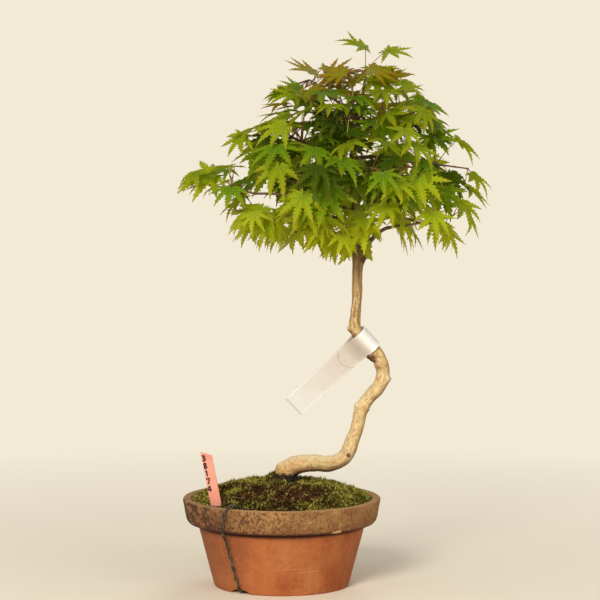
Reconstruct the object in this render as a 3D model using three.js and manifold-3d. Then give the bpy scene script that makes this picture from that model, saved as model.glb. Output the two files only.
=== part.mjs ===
// A young Japanese maple with a winding trunk, in a shallow clay pot.
// Millimetres, +Z up. The origin is the centre of the pot's flat underside.
// The front is seen along +Y, with +X to the right.
import * as THREE from "three";
import { mergeVertices } from "three/addons/utils/BufferGeometryUtils.js";
import Module from "manifold-3d";

const wasm = await Module();
wasm.setup();

const DEG = Math.PI / 180;
const UP = new THREE.Vector3(0, 0, 1);
const CLEAR = 0.3; // gap kept between neighbouring solids

// The pot, a flat clay one with a heavy rim band
const POT = {
  rimRadius: 105, // outside, at the top edge
  bandRadius: 101.5, // outside, at the foot of the rim band
  bandFoot: 67, // height at which the rim band begins
  height: 94,
  neckRadius: 88.5, // body, just under the band
  baseRadius: 72,
  mouthRadius: 96, // inside, at the top edge
  wall: 9,
  floor: 10,
  segments: 32,
};
// Three grooves under the pot, each from the edge to a drain hole
const DRAIN = { count: 3, azimuth: -127, width: 25, height: 5, holeRadius: 10, holeAt: 38 };

// The potting soil is heaped to a small flat top, and moss covers it to the rim
const SOIL = { top: 106, edge: 88, flatRadius: 20, radius: 93.6, fall: 1.9 };
const MOSS = { top: 112.5, edge: 92, radius: 94.3, fall: 2.8, lump: 1.1 };

// Trunk: x, y, z and radius along its middle, from its rounded foot end to the leader's tip
const TRUNK = [
  [-2, 0, 117, 6.5],
  [6, 0, 123, 10.2],
  [16.5, -2, 128.5, 10.2],
  [33.5, -4, 130.5, 8.9],
  [51, -6, 130, 8.3],
  [67, -6, 138, 8.1],
  [74.5, -4, 154.5, 7.2],
  [80.5, -1, 170.5, 7.0],
  [84.5, 3, 187, 7.4],
  [93.5, 6, 200.5, 7.0],
  [104, 8, 212, 7.3],
  [107.5, 8, 227, 7.2],
  [102, 6, 243.5, 7.3],
  [90.5, 3, 258, 7.0],
  [78, 0, 272.5, 6.7],
  [78, 0, 288, 5.4],
  [79.5, 0, 304, 5.2],
  [80, 0, 331, 5.5],
  [80.5, 0, 348, 6.0],
  [77, 1, 372, 4.6],
  [73, 2, 410, 4.0],
  [74, 0, 450, 3.2],
  [79, -3, 486, 2.4],
  [88, -5, 536, 1.6],
];
const TRUNK_SIDES = 9;
const TRUNK_STEPS = 2; // rings for each stretch between two rows of TRUNK
// Rows of TRUNK between which each trunk piece runs: it is split at its two sharp bends
const TRUNK_PIECES = { trunk_run: [0, 5], trunk_rise: [5, 14], trunk_stem: [14, 23] };
const CROWN_FOOT = 17; // row at which the trunk enters the crown
const FOOT = { x: 5.5, y: 0, radius: 14.5, neck: 9.5, neckHeight: 17, roots: 5, rootDepth: 2.6, sides: 20 };
// Scars of cut branches: the trunk row they sit at, the way they face, and their radius
const KNOTS = [
  { row: 12.35, facing: [-1, -0.5, -0.35], radius: 4.2, out: 5.6 },
  { row: 10.6, facing: [1, 0, -0.1], radius: 3.6, out: 5.4 },
  { row: 14.55, facing: [-1, -0.2, 0.1], radius: 3.6, out: 4 },
  { row: 17.9, facing: [0.9, -0.6, 0.2], radius: 3.2, out: 4.4 },
];

// A white strip tag looped round the trunk, with its stuck ends hanging down to the left
const TAG = { row: 13.15, width: 25, loopRadius: 9.1, thick: 0.8, tail: 104, fall: 43, leave: 62, steps: 14 };
// A plant label stuck in the soil, and a pair of wires over the rim
const LABEL = { x: -67.5, y: -57, buried: 18, height: 59, width: 13.5, thick: 1.2, lean: 11, turn: -35 };
const WIRE = { radius: 0.85, sides: 5, spread: 1.25, steps: 20 };

// The crown's smooth dome, which tells the leaves which way is out and down
const DOME = { middle: [60, 0, 385], reach: [165, 150, 190] };
// The crown's outline: height, and how far its tips reach to the left and to the right there
const OUTLINE = [
  [336, 30, 160],
  [357, -44, 206],
  [376, -78, 224],
  [420, -120, 226],
  [445, -100, 216],
  [475, -68, 212],
  [505, -38, 190],
  [535, -18, 174],
  [565, -10, 150],
  [592, 20, 148],
];
const OUTLINE_DEPTH = 0.9; // depth of the crown as a share of its width at each height
const OPENING = { left: 88, right: 124, top: 366 }; // bare space under the lowest bough on the right
// Crown: each mass has its middle, its reach sideways and up, its leaves, the length of their middle
// lobe, how far they droop along the dome, and the row of the trunk where its bough leaves
const CROWN = [
  { name: "top_sprig", at: [84, -2, 556], reach: [56, 32], leaves: 2, lobe: 36, droop: 0.3, row: 23 },
  { name: "left_sprig", at: [26, -8, 540], reach: [56, 38], leaves: 6, lobe: 35, droop: 0.4, row: 22.1 },
  { name: "upper_front", at: [74, -48, 512], reach: [72, 50], leaves: 12, lobe: 40, droop: 0.5, row: 21.4 },
  { name: "upper_right", at: [136, 2, 500], reach: [68, 52], leaves: 12, lobe: 40, droop: 0.55, row: 21.8 },
  { name: "upper_back", at: [66, 58, 506], reach: [74, 52], leaves: 12, lobe: 40, droop: 0.5, row: 21.6 },
  { name: "upper_left", at: [6, -12, 478], reach: [76, 50], leaves: 13, lobe: 41, droop: 0.5, row: 20.9 },
  { name: "front_left", at: [30, -88, 432], reach: [78, 62], leaves: 13, lobe: 43, droop: 0.6, row: 20.2 },
  { name: "front_right", at: [118, -78, 446], reach: [76, 62], leaves: 13, lobe: 43, droop: 0.6, row: 20.6 },
  { name: "right", at: [176, 8, 444], reach: [68, 56], leaves: 12, lobe: 42, droop: 0.6, row: 21.1 },
  { name: "back_right", at: [112, 86, 434], reach: [80, 62], leaves: 13, lobe: 43, droop: 0.6, row: 20 },
  { name: "back_left", at: [10, 80, 448], reach: [80, 62], leaves: 13, lobe: 43, droop: 0.6, row: 20.5 },
  { name: "left_arm", at: [-62, 4, 422], reach: [70, 48], leaves: 12, lobe: 42, droop: 0.35, row: 19.7 },
  { name: "lower_left", at: [-26, -44, 398], reach: [74, 54], leaves: 10, lobe: 42, droop: 0.5, row: 19.4 },
  { name: "lower_front", at: [60, -58, 374], reach: [74, 52], leaves: 10, lobe: 42, droop: 0.5, row: 18.8 },
  { name: "lower_right", at: [160, -40, 388], reach: [72, 54], leaves: 10, lobe: 42, droop: 0.6, row: 18.3 },
  { name: "lower_back_right", at: [138, 52, 380], reach: [74, 52], leaves: 10, lobe: 42, droop: 0.5, row: 19.1 },
  { name: "lower_back_left", at: [24, 56, 376], reach: [76, 52], leaves: 10, lobe: 42, droop: 0.5, row: 18.5 },
];
const SEED = 4201;
const BOUGH = { root: 2.6, tip: 1.5, sides: 5, steps: 3, rise: 0.1, enter: 0.5, slimmest: 0.8 };
const FORK = { below: 19, root: 3.4 }; // boughs that leave the trunk below this row are thicker
const SHOOT_SIDES = 4;
// Nodes that bear a pair of leaves are counted in steps from the shoot's root
const STEM = { root: 1.6, tip: 1.15, steps: 4, past: 0.32, lift: 0.1, nodes: [1.6, 2.4, 3.2, 3.95] };
const TWIG = { root: 1.3, tip: 1.1, steps: 1, from: 1, spread: 62, length: 0.5, nodes: [0.55, 0.96] };
const TWIGS_FROM = 6; // a mass with fewer leaves than this has a stem alone
// A stalk's radii and length, and how far it may turn aside, back, or towards its pair's stalk
const STALK = { root: 0.65, tip: 0.5, shortest: 7, longest: 46, askew: 0.75, folded: -0.1, pairing: 0.4 };
const DARTS = 9000; // places tried in each mass before the missing leaves are left out
// Where a leaf may lie, as a share of its mass's reach, and how it may turn, in degrees
const PLACE = { within: 0.85, outwards: 0.6, swing: 40, droop: 14, roll: 20, middle: 0.42 };
const GROWTH = { least: 0.88, spread: 0.22, shrink: 0.32 }; // of a leaf's length
// Leaf: the angle and share of the lobe length of each lobe on one side, from the middle one outwards
const LOBES = [
  { turn: 0, reach: 1 },
  { turn: 34, reach: 0.93 },
  { turn: 70, reach: 0.76 },
  { turn: 108, reach: 0.48 },
];
const LEAF = { sinus: 0.5, closing: 0.13, arch: 0.1, thick: 1.3, ridge: 0.1, apart: 1.8, spacing: 15 };
const LIMB_CLEAR = 2.4; // kept between a blade and a bough or the trunk
const SHOOT_CLEAR = 1.5; // kept between a blade and its own mass's shoots
const STALK_CLEAR = 1.3; // kept between a stalk and a bough or the trunk
const BLADE_MARGIN = 0.5; // kept between a leaf and the edge of its mass's space

const vec = (a) => new THREE.Vector3(a[0], a[1], a[2]);
const lerp = (a, b, t) => a + (b - a) * t;

// A repeatable stream of numbers from 0 to 1
function seeded(seed) {
  let state = seed >>> 0;
  return () => {
    state = (Math.imul(state, 1664525) + 1013904223) >>> 0;
    return state / 4294967296;
  };
}

// A geometry as a solid, with its shared corners merged and its faces turned outwards
function solid(geometry) {
  const bare = (geometry.index ? geometry.toNonIndexed() : geometry.clone())
    .deleteAttribute("normal")
    .deleteAttribute("uv");
  const merged = mergeVertices(bare, 1e-4);
  const corners = merged.index.array;
  const kept = [];
  for (let i = 0; i < corners.length; i += 3) {
    const [a, b, c] = corners.slice(i, i + 3);
    if (a !== b && b !== c && a !== c) kept.push(a, b, c);
  }
  const make = (list) =>
    new wasm.Manifold(
      new wasm.Mesh({
        numProp: 3,
        vertProperties: new Float32Array(merged.attributes.position.array),
        triVerts: new Uint32Array(list),
      }),
    );
  const made = make(kept);
  return made.volume() > 0 ? made : make(kept.reverse());
}

// A solid as a geometry with flat faces
function geometryOf(made) {
  const mesh = made.getMesh();
  const points = new Float32Array(mesh.numVert * 3);
  for (let i = 0; i < mesh.numVert; i++) {
    const start = i * mesh.numProp;
    points.set(mesh.vertProperties.subarray(start, start + 3), i * 3);
  }
  const geometry = new THREE.BufferGeometry();
  geometry.setAttribute("position", new THREE.BufferAttribute(points, 3));
  geometry.setIndex(new THREE.BufferAttribute(mesh.triVerts, 1));
  geometry.computeVertexNormals();
  return geometry;
}

const largest = (made) => made.decompose().sort((a, b) => b.volume() - a.volume())[0];

// A closed skin over a row of rings that all have the same number of corners
function skin(rings) {
  const sides = rings[0].length;
  const points = rings.flat();
  const faces = [];
  for (let i = 0; i + 1 < rings.length; i++) {
    for (let k = 0; k < sides; k++) {
      const a = i * sides + k;
      const b = i * sides + ((k + 1) % sides);
      faces.push(a, b, b + sides, a, b + sides, a + sides);
    }
  }
  const last = (rings.length - 1) * sides;
  for (let k = 1; k + 1 < sides; k++) {
    faces.push(0, k + 1, k);
    faces.push(last, last + k, last + k + 1);
  }
  return new THREE.BufferGeometry().setFromPoints(points).setIndex(faces);
}

// A tapering limb through stations, each a point and a radius, with flat ends.
// A station may name the way the limb points there, or else its neighbours tell it.
function limb(stations, sides) {
  const tangents = stations.map((s, i) => {
    const before = stations[Math.max(0, i - 1)].point;
    const after = stations[Math.min(stations.length - 1, i + 1)].point;
    return s.along ?? after.clone().sub(before).normalize();
  });
  const start = Math.abs(tangents[0].z) < 0.9 ? UP : new THREE.Vector3(1, 0, 0);
  let across = start.clone().cross(tangents[0]).normalize();
  const rings = stations.map((s, i) => {
    across = across.clone().addScaledVector(tangents[i], -across.dot(tangents[i])).normalize();
    const beside = tangents[i].clone().cross(across);
    return Array.from({ length: sides }, (_, k) => {
      const turn = (k / sides) * 2 * Math.PI;
      return s.point
        .clone()
        .addScaledVector(across, s.radius * Math.cos(turn))
        .addScaledVector(beside, s.radius * Math.sin(turn));
    });
  });
  return skin(rings);
}

// Revolves a profile of radius and height round the Z axis
function revolved(profile, segments) {
  const points = profile.map(([r, z]) => new THREE.Vector2(r, z));
  return new THREE.LatheGeometry(points, segments).rotateX(Math.PI / 2);
}

// The trunk's middle line and radius at a row number, which may be a fraction
const trunkCurve = new THREE.CatmullRomCurve3(TRUNK.map(vec), false, "catmullrom", 0.5);
const trunkRows = TRUNK.length - 1;
const trunkPoint = (row) => trunkCurve.getPoint(row / trunkRows);
function trunkRadius(row) {
  const below = Math.min(Math.floor(row), trunkRows - 1);
  return lerp(TRUNK[below][3], TRUNK[below + 1][3], row - below);
}

// One stretch of the trunk, its radius grown by extra and its ends drawn in by half the gap
function trunkStretch(from, to, extra = 0) {
  const steps = (to - from) * TRUNK_STEPS;
  const stations = Array.from({ length: steps + 1 }, (_, i) => {
    const row = lerp(from, to, i / steps);
    const along = trunkCurve.getTangent(row / trunkRows);
    return { point: trunkPoint(row), radius: trunkRadius(row) + extra, along };
  });
  const [first, last] = [stations[0], stations[steps]];
  first.point.addScaledVector(first.along, CLEAR / 2 - extra);
  last.point.addScaledVector(last.along, extra - CLEAR / 2);
  return solid(limb(stations, TRUNK_SIDES));
}

// The root flare: a lobed foot with a flat cut where it meets the soil
function rootFlare() {
  const heights = [0, 3, 7, 12, FOOT.neckHeight];
  const rings = heights.map((height) => {
    const t = height / FOOT.neckHeight;
    const radius = lerp(FOOT.radius, FOOT.neck, Math.sqrt(t));
    return Array.from({ length: FOOT.sides }, (_, k) => {
      const turn = (k / FOOT.sides) * 2 * Math.PI;
      const root = FOOT.rootDepth * (1 - t) * Math.cos(FOOT.roots * turn);
      const r = radius + root;
      return new THREE.Vector3(
        FOOT.x + r * Math.cos(turn),
        FOOT.y + r * Math.sin(turn),
        SOIL.top + CLEAR + height,
      );
    });
  });
  return solid(skin(rings));
}

// A cut-branch scar: a small rounded lump on the trunk's side
function knot({ row, facing, radius, out }) {
  const middle = trunkPoint(row).addScaledVector(vec(facing).normalize(), out);
  const lump = new THREE.SphereGeometry(radius, 8, 6);
  lump.translate(middle.x, middle.y, middle.z);
  return solid(lump);
}

function trunkSolids() {
  const pieces = {};
  for (const [name, [from, to]] of Object.entries(TRUNK_PIECES)) {
    const lumps = KNOTS.filter((k) => k.row > from && k.row < to).map(knot);
    pieces[name] = lumps.reduce((whole, lump) => whole.add(lump), trunkStretch(from, to));
  }
  pieces.trunk_run = pieces.trunk_run.add(rootFlare());
  return pieces;
}

// The pot: body, rim band and filled mouth, cut by its grooves and drain holes
function potProfile() {
  const { rimRadius, bandRadius, bandFoot, height, neckRadius, baseRadius } = POT;
  const { mouthRadius, wall, floor } = POT;
  return [
    [0, 0],
    [baseRadius - 1.5, 0],
    [baseRadius, 1.5],
    [neckRadius, bandFoot - 2],
    [neckRadius + 7.5, bandFoot],
    [bandRadius - 1.2, bandFoot + 3.5],
    [bandRadius + 0.3, bandFoot + 8],
    [rimRadius, height - 2.5],
    [rimRadius - 1, height - 0.7],
    [rimRadius - 2.8, height],
    [mouthRadius + 1.5, height],
    [mouthRadius, height - 1.5],
    [mouthRadius - 1.8, height - 14],
    [neckRadius - wall, bandFoot - 5],
    [baseRadius - wall + 1, floor + 4],
    [baseRadius - wall - 3, floor],
    [0, floor],
  ];
}
const POT_INSIDE = potProfile().slice(11);

function pot() {
  let made = solid(revolved(potProfile(), POT.segments));
  for (let i = 0; i < DRAIN.count; i++) {
    const azimuth = (DRAIN.azimuth + (i * 360) / DRAIN.count) * DEG;
    const length = POT.baseRadius + 10 - DRAIN.holeAt;
    const groove = new THREE.BoxGeometry(length, DRAIN.width, 2 * DRAIN.height)
      .translate(DRAIN.holeAt + length / 2, 0, 0)
      .rotateZ(azimuth);
    const hole = new THREE.CylinderGeometry(DRAIN.holeRadius, DRAIN.holeRadius, 3 * POT.floor, 16)
      .rotateX(Math.PI / 2)
      .translate(DRAIN.holeAt, 0, 0)
      .rotateZ(azimuth);
    made = made.subtract(solid(groove)).subtract(solid(hole));
  }
  return made;
}

const soilTop = (r) => {
  const share = Math.max(0, r - SOIL.flatRadius) / (SOIL.radius - SOIL.flatRadius);
  return SOIL.top - (SOIL.top - SOIL.edge) * share ** SOIL.fall;
};
const mossTop = (r) => MOSS.top - (MOSS.top - MOSS.edge) * (r / MOSS.radius) ** MOSS.fall;

// The potting soil: the pot's inside with a gap all round, heaped in the middle
function soil() {
  const heap = [0, SOIL.flatRadius, 52, 78, SOIL.radius - 0.1];
  const inside = POT_INSIDE.slice(1).reverse();
  const shell = inside.map(([r, z]) => [Math.max(0, r - 1.5 * CLEAR), z === POT.floor ? z + CLEAR : z]);
  const below = shell.filter(([, z]) => z < SOIL.edge - 4);
  const profile = [...below, [SOIL.radius, SOIL.edge - 1], ...heap.reverse().map((r) => [r, soilTop(r)])];
  return solid(revolved(profile, 20));
}

// The moss: a lumpy blanket over the soil, open where the trunk's foot comes through
function moss() {
  const radii = [0, SOIL.flatRadius, 36, 52, 66, 78, 87, MOSS.radius];
  const under = [0, SOIL.flatRadius, 52, 78, MOSS.radius].map((r) => {
    const inner = Math.min(r, SOIL.radius - 0.1);
    return [r, soilTop(inner) + CLEAR];
  });
  const over = radii.map((r) => [r, mossTop(r)]).reverse();
  const geometry = revolved([...under, ...over], 20);
  const spots = geometry.getAttribute("position");
  for (let i = 0; i < spots.count; i++) {
    const [x, y, z] = [spots.getX(i), spots.getY(i), spots.getZ(i)];
    const r = Math.hypot(x, y);
    const onTop = z > soilTop(Math.min(r, SOIL.radius - 0.1)) + 2;
    const lump = MOSS.lump * Math.sin(x * 0.11 + 1) * Math.sin(y * 0.13 + 2) * (1 - (r / MOSS.radius) ** 4);
    if (onTop) spots.setZ(i, z + lump);
  }
  return solid(geometry);
}

// The plant label: a thin plate with a slanting top, leaning to the left
function label(extra = 0) {
  const { width, thick, buried, height } = LABEL;
  const half = width / 2 + extra;
  const outline = new THREE.Shape([
    new THREE.Vector2(-half * 0.5, -buried - extra),
    new THREE.Vector2(half * 0.5, -buried - extra),
    new THREE.Vector2(half, 8 - buried),
    new THREE.Vector2(half, height - 4.5 + extra),
    new THREE.Vector2(-half, height + extra),
    new THREE.Vector2(-half, 8 - buried),
  ]);
  const plate = new THREE.ExtrudeGeometry(outline, { depth: thick + 2 * extra, bevelEnabled: false })
    .translate(0, 0, -thick / 2 - extra)
    .rotateX(Math.PI / 2)
    .rotateZ(LABEL.turn * DEG)
    .rotateY(-LABEL.lean * DEG)
    .translate(LABEL.x, LABEL.y, POT.height - 2);
  return solid(plate);
}

// The wire pair: out of the moss, over the rim, down the pot and through a groove to its drain hole
function wire(side, extra = 0) {
  const azimuth = DRAIN.azimuth * DEG;
  const lead = [
    [90, 99, 8.5],
    [93.5, 99, 8],
    [98, 97.2, 7.3],
    [103, 96.6, 6.2],
    [106.6, 93.5, 5],
    [106.2, 86, 3.2],
    [104.4, 76, 1.6],
    [101.8, 69, 0.6],
    [95, 61, -0.8],
    [88.2, 50, -2],
    [82.2, 30, -1],
    [76.6, 12, 0.6],
    [73.6, 4.5, 0.8],
    [66, 2.2, 0.8],
    [46, 2.2, 0.8],
    [38, 4, 0.8],
    [36, 8.4, 0.8],
  ].map(([r, z, turn]) => {
    const a = azimuth + turn * DEG;
    const out = new THREE.Vector3(Math.cos(a), Math.sin(a), 0);
    const along = new THREE.Vector3(-out.y, out.x, 0);
    return out.multiplyScalar(r).addScaledVector(along, side * WIRE.spread).setZ(z);
  });
  const curve = new THREE.CatmullRomCurve3(lead, false, "catmullrom", 0.5);
  const stations = curve.getPoints(WIRE.steps).map((point) => ({ point, radius: WIRE.radius + extra }));
  return solid(limb(stations, WIRE.sides));
}

// The strip tag: a thin loop round the trunk that closes into a flat tail
function tag() {
  const { width, loopRadius, thick, tail, fall, row } = TAG;
  const middle = trunkPoint(row);
  const axis = trunkPoint(row + 0.6).sub(trunkPoint(row - 0.6)).normalize();
  const down = new THREE.Vector3(-Math.cos(fall * DEG), 0, -Math.sin(fall * DEG));
  down.addScaledVector(axis, -down.dot(axis)).normalize();
  const across = axis.clone().cross(down);
  // Two straight runs leave the round part at this angle and meet at the start of the tail
  const leave = TAG.leave * DEG;
  const meet = loopRadius / Math.cos(leave) + 1;
  const loop = (radius, end) => {
    const round = Array.from({ length: TAG.steps + 1 }, (_, i) => {
      const a = lerp(leave, 2 * Math.PI - leave, i / TAG.steps);
      return new THREE.Vector2(radius * Math.cos(a), radius * Math.sin(a));
    });
    return [...round, ...end];
  };
  const outside = loop(loopRadius + thick, [
    new THREE.Vector2(meet, -thick),
    new THREE.Vector2(tail, -thick),
    new THREE.Vector2(tail, thick),
    new THREE.Vector2(meet, thick),
  ]);
  const shape = new THREE.Shape(outside);
  shape.holes.push(new THREE.Path(loop(loopRadius, [new THREE.Vector2(meet - 2, 0)])));
  const strip = new THREE.ExtrudeGeometry(shape, { depth: width, bevelEnabled: false });
  strip.translate(0, 0, -width / 2);
  strip.applyMatrix4(new THREE.Matrix4().makeBasis(down, across, axis).setPosition(middle));
  return solid(strip);
}

// Shortest distance between two straight pieces p1-q1 and p2-q2
function segmentGap(p1, q1, p2, q2) {
  const d1 = q1.clone().sub(p1);
  const d2 = q2.clone().sub(p2);
  const r = p1.clone().sub(p2);
  const a = d1.dot(d1);
  const e = d2.dot(d2);
  const b = d1.dot(d2);
  const c = d1.dot(r);
  const f = d2.dot(r);
  const clamp = (x) => Math.min(1, Math.max(0, x));
  const denominator = a * e - b * b;
  let s = denominator > 1e-9 ? clamp((b * f - c * e) / denominator) : 0;
  let t = (b * s + f) / e;
  if (t < 0 || t > 1) {
    t = clamp(t);
    s = clamp((b * t - c) / a);
  }
  return p1.clone().addScaledVector(d1, s).distanceTo(p2.clone().addScaledVector(d2, t));
}

// How far a point is inside the crown's outline, whose level sections are ovals
function insideOutline({ x, y, z }) {
  const row = OUTLINE.findIndex(([height]) => height > z);
  if (row < 1 || (z < OPENING.top && x > OPENING.left && x < OPENING.right)) return -1;
  const [below, above] = [OUTLINE[row - 1], OUTLINE[row]];
  const t = (z - below[0]) / (above[0] - below[0]);
  const [left, right] = [lerp(below[1], above[1], t), lerp(below[2], above[2], t)];
  const half = (right - left) / 2;
  return (1 - Math.hypot((x - (left + right) / 2) / half, y / (half * OUTLINE_DEPTH))) * half;
}

// The space of each mass: inside the crown's outline and its own rounded reach, and on its own side
// of every neighbour
const MASSES = CROWN.map((mass) => ({ ...mass, middle: vec(mass.at), size: mass.reach[0] * mass.reach[1] }));

function roomAt(mass, point) {
  const away = point.clone().sub(mass.middle);
  const [wide, high] = mass.reach;
  const share = Math.hypot(away.x / wide, away.y / wide, away.z / high);
  let room = Math.min((1 - share) * Math.min(wide, high), insideOutline(point));
  for (const other of MASSES) {
    if (other === mass) continue;
    const between = other.middle.clone().sub(mass.middle);
    const apart = between.length();
    const own = away.lengthSq() - mass.size;
    const theirs = point.distanceToSquared(other.middle) - other.size;
    room = Math.min(room, (theirs - own) / (2 * apart));
  }
  return room;
}

// A bough's stations, from inside the trunk to where it enters its mass, and the way it points there
function boughPath(mass) {
  const start = trunkPoint(mass.row);
  if (mass.row === trunkRows) return { stations: [], end: start, along: trunkCurve.getTangent(1) };
  const towards = mass.middle.clone().sub(start);
  const end = mass.middle.clone().addScaledVector(towards, -BOUGH.enter * (mass.reach[0] / towards.length()));
  const length = end.distanceTo(start);
  const bow = start.clone().lerp(end, 0.5).addScaledVector(UP, BOUGH.rise * length);
  const curve = new THREE.QuadraticBezierCurve3(start, bow, end);
  const slim = Math.min(BOUGH.root, BOUGH.slimmest * trunkRadius(mass.row));
  const root = mass.row < FORK.below ? FORK.root : slim;
  const stations = curve.getPoints(BOUGH.steps).map((point, i) => ({
    point,
    radius: lerp(root, BOUGH.tip, i / BOUGH.steps),
  }));
  return { stations, end, along: curve.getTangent(1) };
}

// The shoots of a mass: a stem from just past its bough's tip, and a pair of twigs
function shootsOf(mass, bough) {
  const start = bough.end.clone().addScaledVector(bough.along, CLEAR);
  const out = mass.middle.clone().sub(start);
  const end = mass.middle.clone().addScaledVector(out.clone().normalize(), STEM.past * mass.reach[0]);
  const bow = start.clone().addScaledVector(bough.along, 0.5 * out.length());
  bow.addScaledVector(UP, STEM.lift * mass.reach[1]);
  const curve = new THREE.QuadraticBezierCurve3(start, bow, end);
  const stem = { ...STEM, points: curve.getPoints(STEM.steps) };
  if (mass.leaves < TWIGS_FROM) return [stem];
  const [before, fork, after] = stem.points.slice(TWIG.from - 1, TWIG.from + 2);
  const along = after.clone().sub(before).normalize();
  const level = along.clone().cross(UP).normalize();
  const twigs = [1, -1].map((side) => {
    const spread = side * TWIG.spread * DEG;
    const way = along.clone().multiplyScalar(Math.cos(spread)).addScaledVector(level, Math.sin(spread));
    return { ...TWIG, points: [fork, fork.clone().addScaledVector(way, TWIG.length * mass.reach[0])] };
  });
  return [stem, ...twigs];
}

// The nodes along the shoots of a mass, each of which bears a pair of leaves
const nodesOf = (shoots) =>
  shoots.flatMap(({ points, nodes }) =>
    nodes.map((step) => {
      const before = Math.floor(step);
      return { point: points[before].clone().lerp(points[before + 1], step - before), leaves: [] };
    }),
  );

// The rim of a leaf from its right hind lobe round to its left one, in its own frame: forward,
// sideways and above, from where its stalk joins
function leafOutline(length) {
  const corner = (turn, reach) => {
    const a = turn * DEG;
    const r = reach * length;
    return [r * Math.cos(a), r * Math.sin(a), -LEAF.arch * length * reach * reach];
  };
  const side = (sign) =>
    LOBES.flatMap((lobe, i) => {
      const tip = corner(sign * lobe.turn, lobe.reach);
      if (i === 0) return [tip];
      const sinus = corner(sign * ((lobe.turn + LOBES[i - 1].turn) / 2), LEAF.sinus * (1 - LEAF.closing * i));
      return [sinus, tip];
    });
  return [...side(-1).slice(1).reverse(), ...side(1)];
}

// A leaf's frame from its heading over the ground, its droop and its roll
function leafFrame(heading, droop, roll) {
  const forward = heading.clone().multiplyScalar(Math.cos(droop)).addScaledVector(UP, -Math.sin(droop));
  const flat = heading.clone().multiplyScalar(Math.sin(droop)).addScaledVector(UP, Math.cos(droop));
  const beside = flat.clone().cross(forward);
  const above = flat.multiplyScalar(Math.cos(roll)).addScaledVector(beside, Math.sin(roll));
  return { forward, above, beside: above.clone().cross(forward) };
}

const placed = (leaf, [f, s, a]) =>
  leaf.base
    .clone()
    .addScaledVector(leaf.frame.forward, f)
    .addScaledVector(leaf.frame.beside, s)
    .addScaledVector(leaf.frame.above, a);

// Whether a leaf and its stalk stay in their mass's space, off the limbs and shoots and off the
// leaves before them. A blade is tested along the lines from its stalk to each corner of its rim.
function fits(mass, leaf, limbs, shootLimbs, before) {
  const roomy = (point) => roomAt(mass, point) > BLADE_MARGIN;
  if (!roomy(leaf.base) || !leaf.rim.every(roomy)) return false;
  const crossed = before.some((other) => {
    if (other.centre.distanceTo(leaf.centre) < LEAF.spacing) return true;
    if (other.base.distanceTo(leaf.base) > leaf.length + other.length) return false;
    if (other.rim.some((end) => segmentGap(leaf.node, leaf.base, other.base, end) < LEAF.apart)) return true;
    if (leaf.rim.some((end) => segmentGap(other.node, other.base, leaf.base, end) < LEAF.apart)) return true;
    return other.rim.some((theirs) =>
      leaf.rim.some((end) => segmentGap(leaf.base, end, other.base, theirs) < LEAF.apart),
    );
  });
  if (crossed) return false;
  const bladeClear = ({ from, to, radius }, gap) =>
    leaf.rim.every((end) => segmentGap(leaf.base, end, from, to) > radius + gap);
  if (!shootLimbs.every((shoot) => bladeClear(shoot, SHOOT_CLEAR))) return false;
  return limbs.every((piece) => {
    const gap = segmentGap(leaf.node, leaf.base, piece.from, piece.to) - piece.radius;
    return gap > STALK_CLEAR && bladeClear(piece, LIMB_CLEAR);
  });
}

// A leaf at a place drawn evenly from its mass's reach, facing out and down along the dome
function leafAt(mass, nodes, random, shrink) {
  const jitter = (size) => (random() * 2 - 1) * size;
  const height = jitter(1);
  const turn = random() * 2 * Math.PI;
  const out = PLACE.within * Math.cbrt(random());
  const level = Math.sqrt(1 - height * height);
  const place = new THREE.Vector3(level * Math.cos(turn), level * Math.sin(turn), height).multiplyScalar(out);
  const [wide, high] = mass.reach;
  const centre = mass.middle.clone().add(place.clone().multiply(new THREE.Vector3(wide, wide, high)));
  const dome = vec(DOME.reach);
  const normal = centre.clone().sub(vec(DOME.middle)).divide(dome).divide(dome).normalize();
  const heading = normal.clone().setZ(0).normalize().addScaledVector(place.setZ(0), PLACE.outwards);
  heading.applyAxisAngle(UP, jitter(PLACE.swing) * DEG).normalize();
  const droop = Math.acos(normal.z) * mass.droop + jitter(PLACE.droop) * DEG;
  const frame = leafFrame(heading, droop, jitter(PLACE.roll) * DEG);
  const length = mass.lobe * (GROWTH.least + GROWTH.spread * random()) * shrink;
  const base = centre.clone().addScaledVector(frame.forward, -PLACE.middle * length);
  const free = nodes.filter((node) => node.leaves.length < 2);
  if (free.length === 0) return null;
  const bearer = free.reduce((best, node) =>
    node.point.distanceTo(base) < best.point.distanceTo(base) ? node : best,
  );
  const leaf = { base, centre, bearer, node: bearer.point, length, frame };
  leaf.rim = leafOutline(length).map((corner) => placed(leaf, corner));
  return leaf;
}

// Grows one mass's leaves, largest first, and leaves out those that find no room
function grow(mass, index, shoots, limbs) {
  const random = seeded(SEED + index * 7919);
  const nodes = nodesOf(shoots);
  const shootLimbs = shoots.flatMap(piecesOf);
  const leaves = [];
  for (let dart = 0; dart < DARTS && leaves.length < mass.leaves; dart++) {
    const leaf = leafAt(mass, nodes, random, 1 - (GROWTH.shrink * dart) / DARTS);
    if (!leaf) break;
    const reach = leaf.base.distanceTo(leaf.node);
    leaf.way = leaf.base.clone().sub(leaf.node).normalize();
    const askew = Math.abs(leaf.frame.beside.dot(leaf.way));
    if (reach < STALK.shortest || reach > STALK.longest || askew > STALK.askew) continue;
    if (leaf.frame.forward.dot(leaf.way) < STALK.folded) continue;
    if (leaf.bearer.leaves.some((other) => other.way.dot(leaf.way) > STALK.pairing)) continue;
    if (!fits(mass, leaf, limbs, shootLimbs, leaves)) continue;
    leaf.bearer.leaves.push(leaf);
    leaves.push(leaf);
  }
  return leaves;
}

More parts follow.
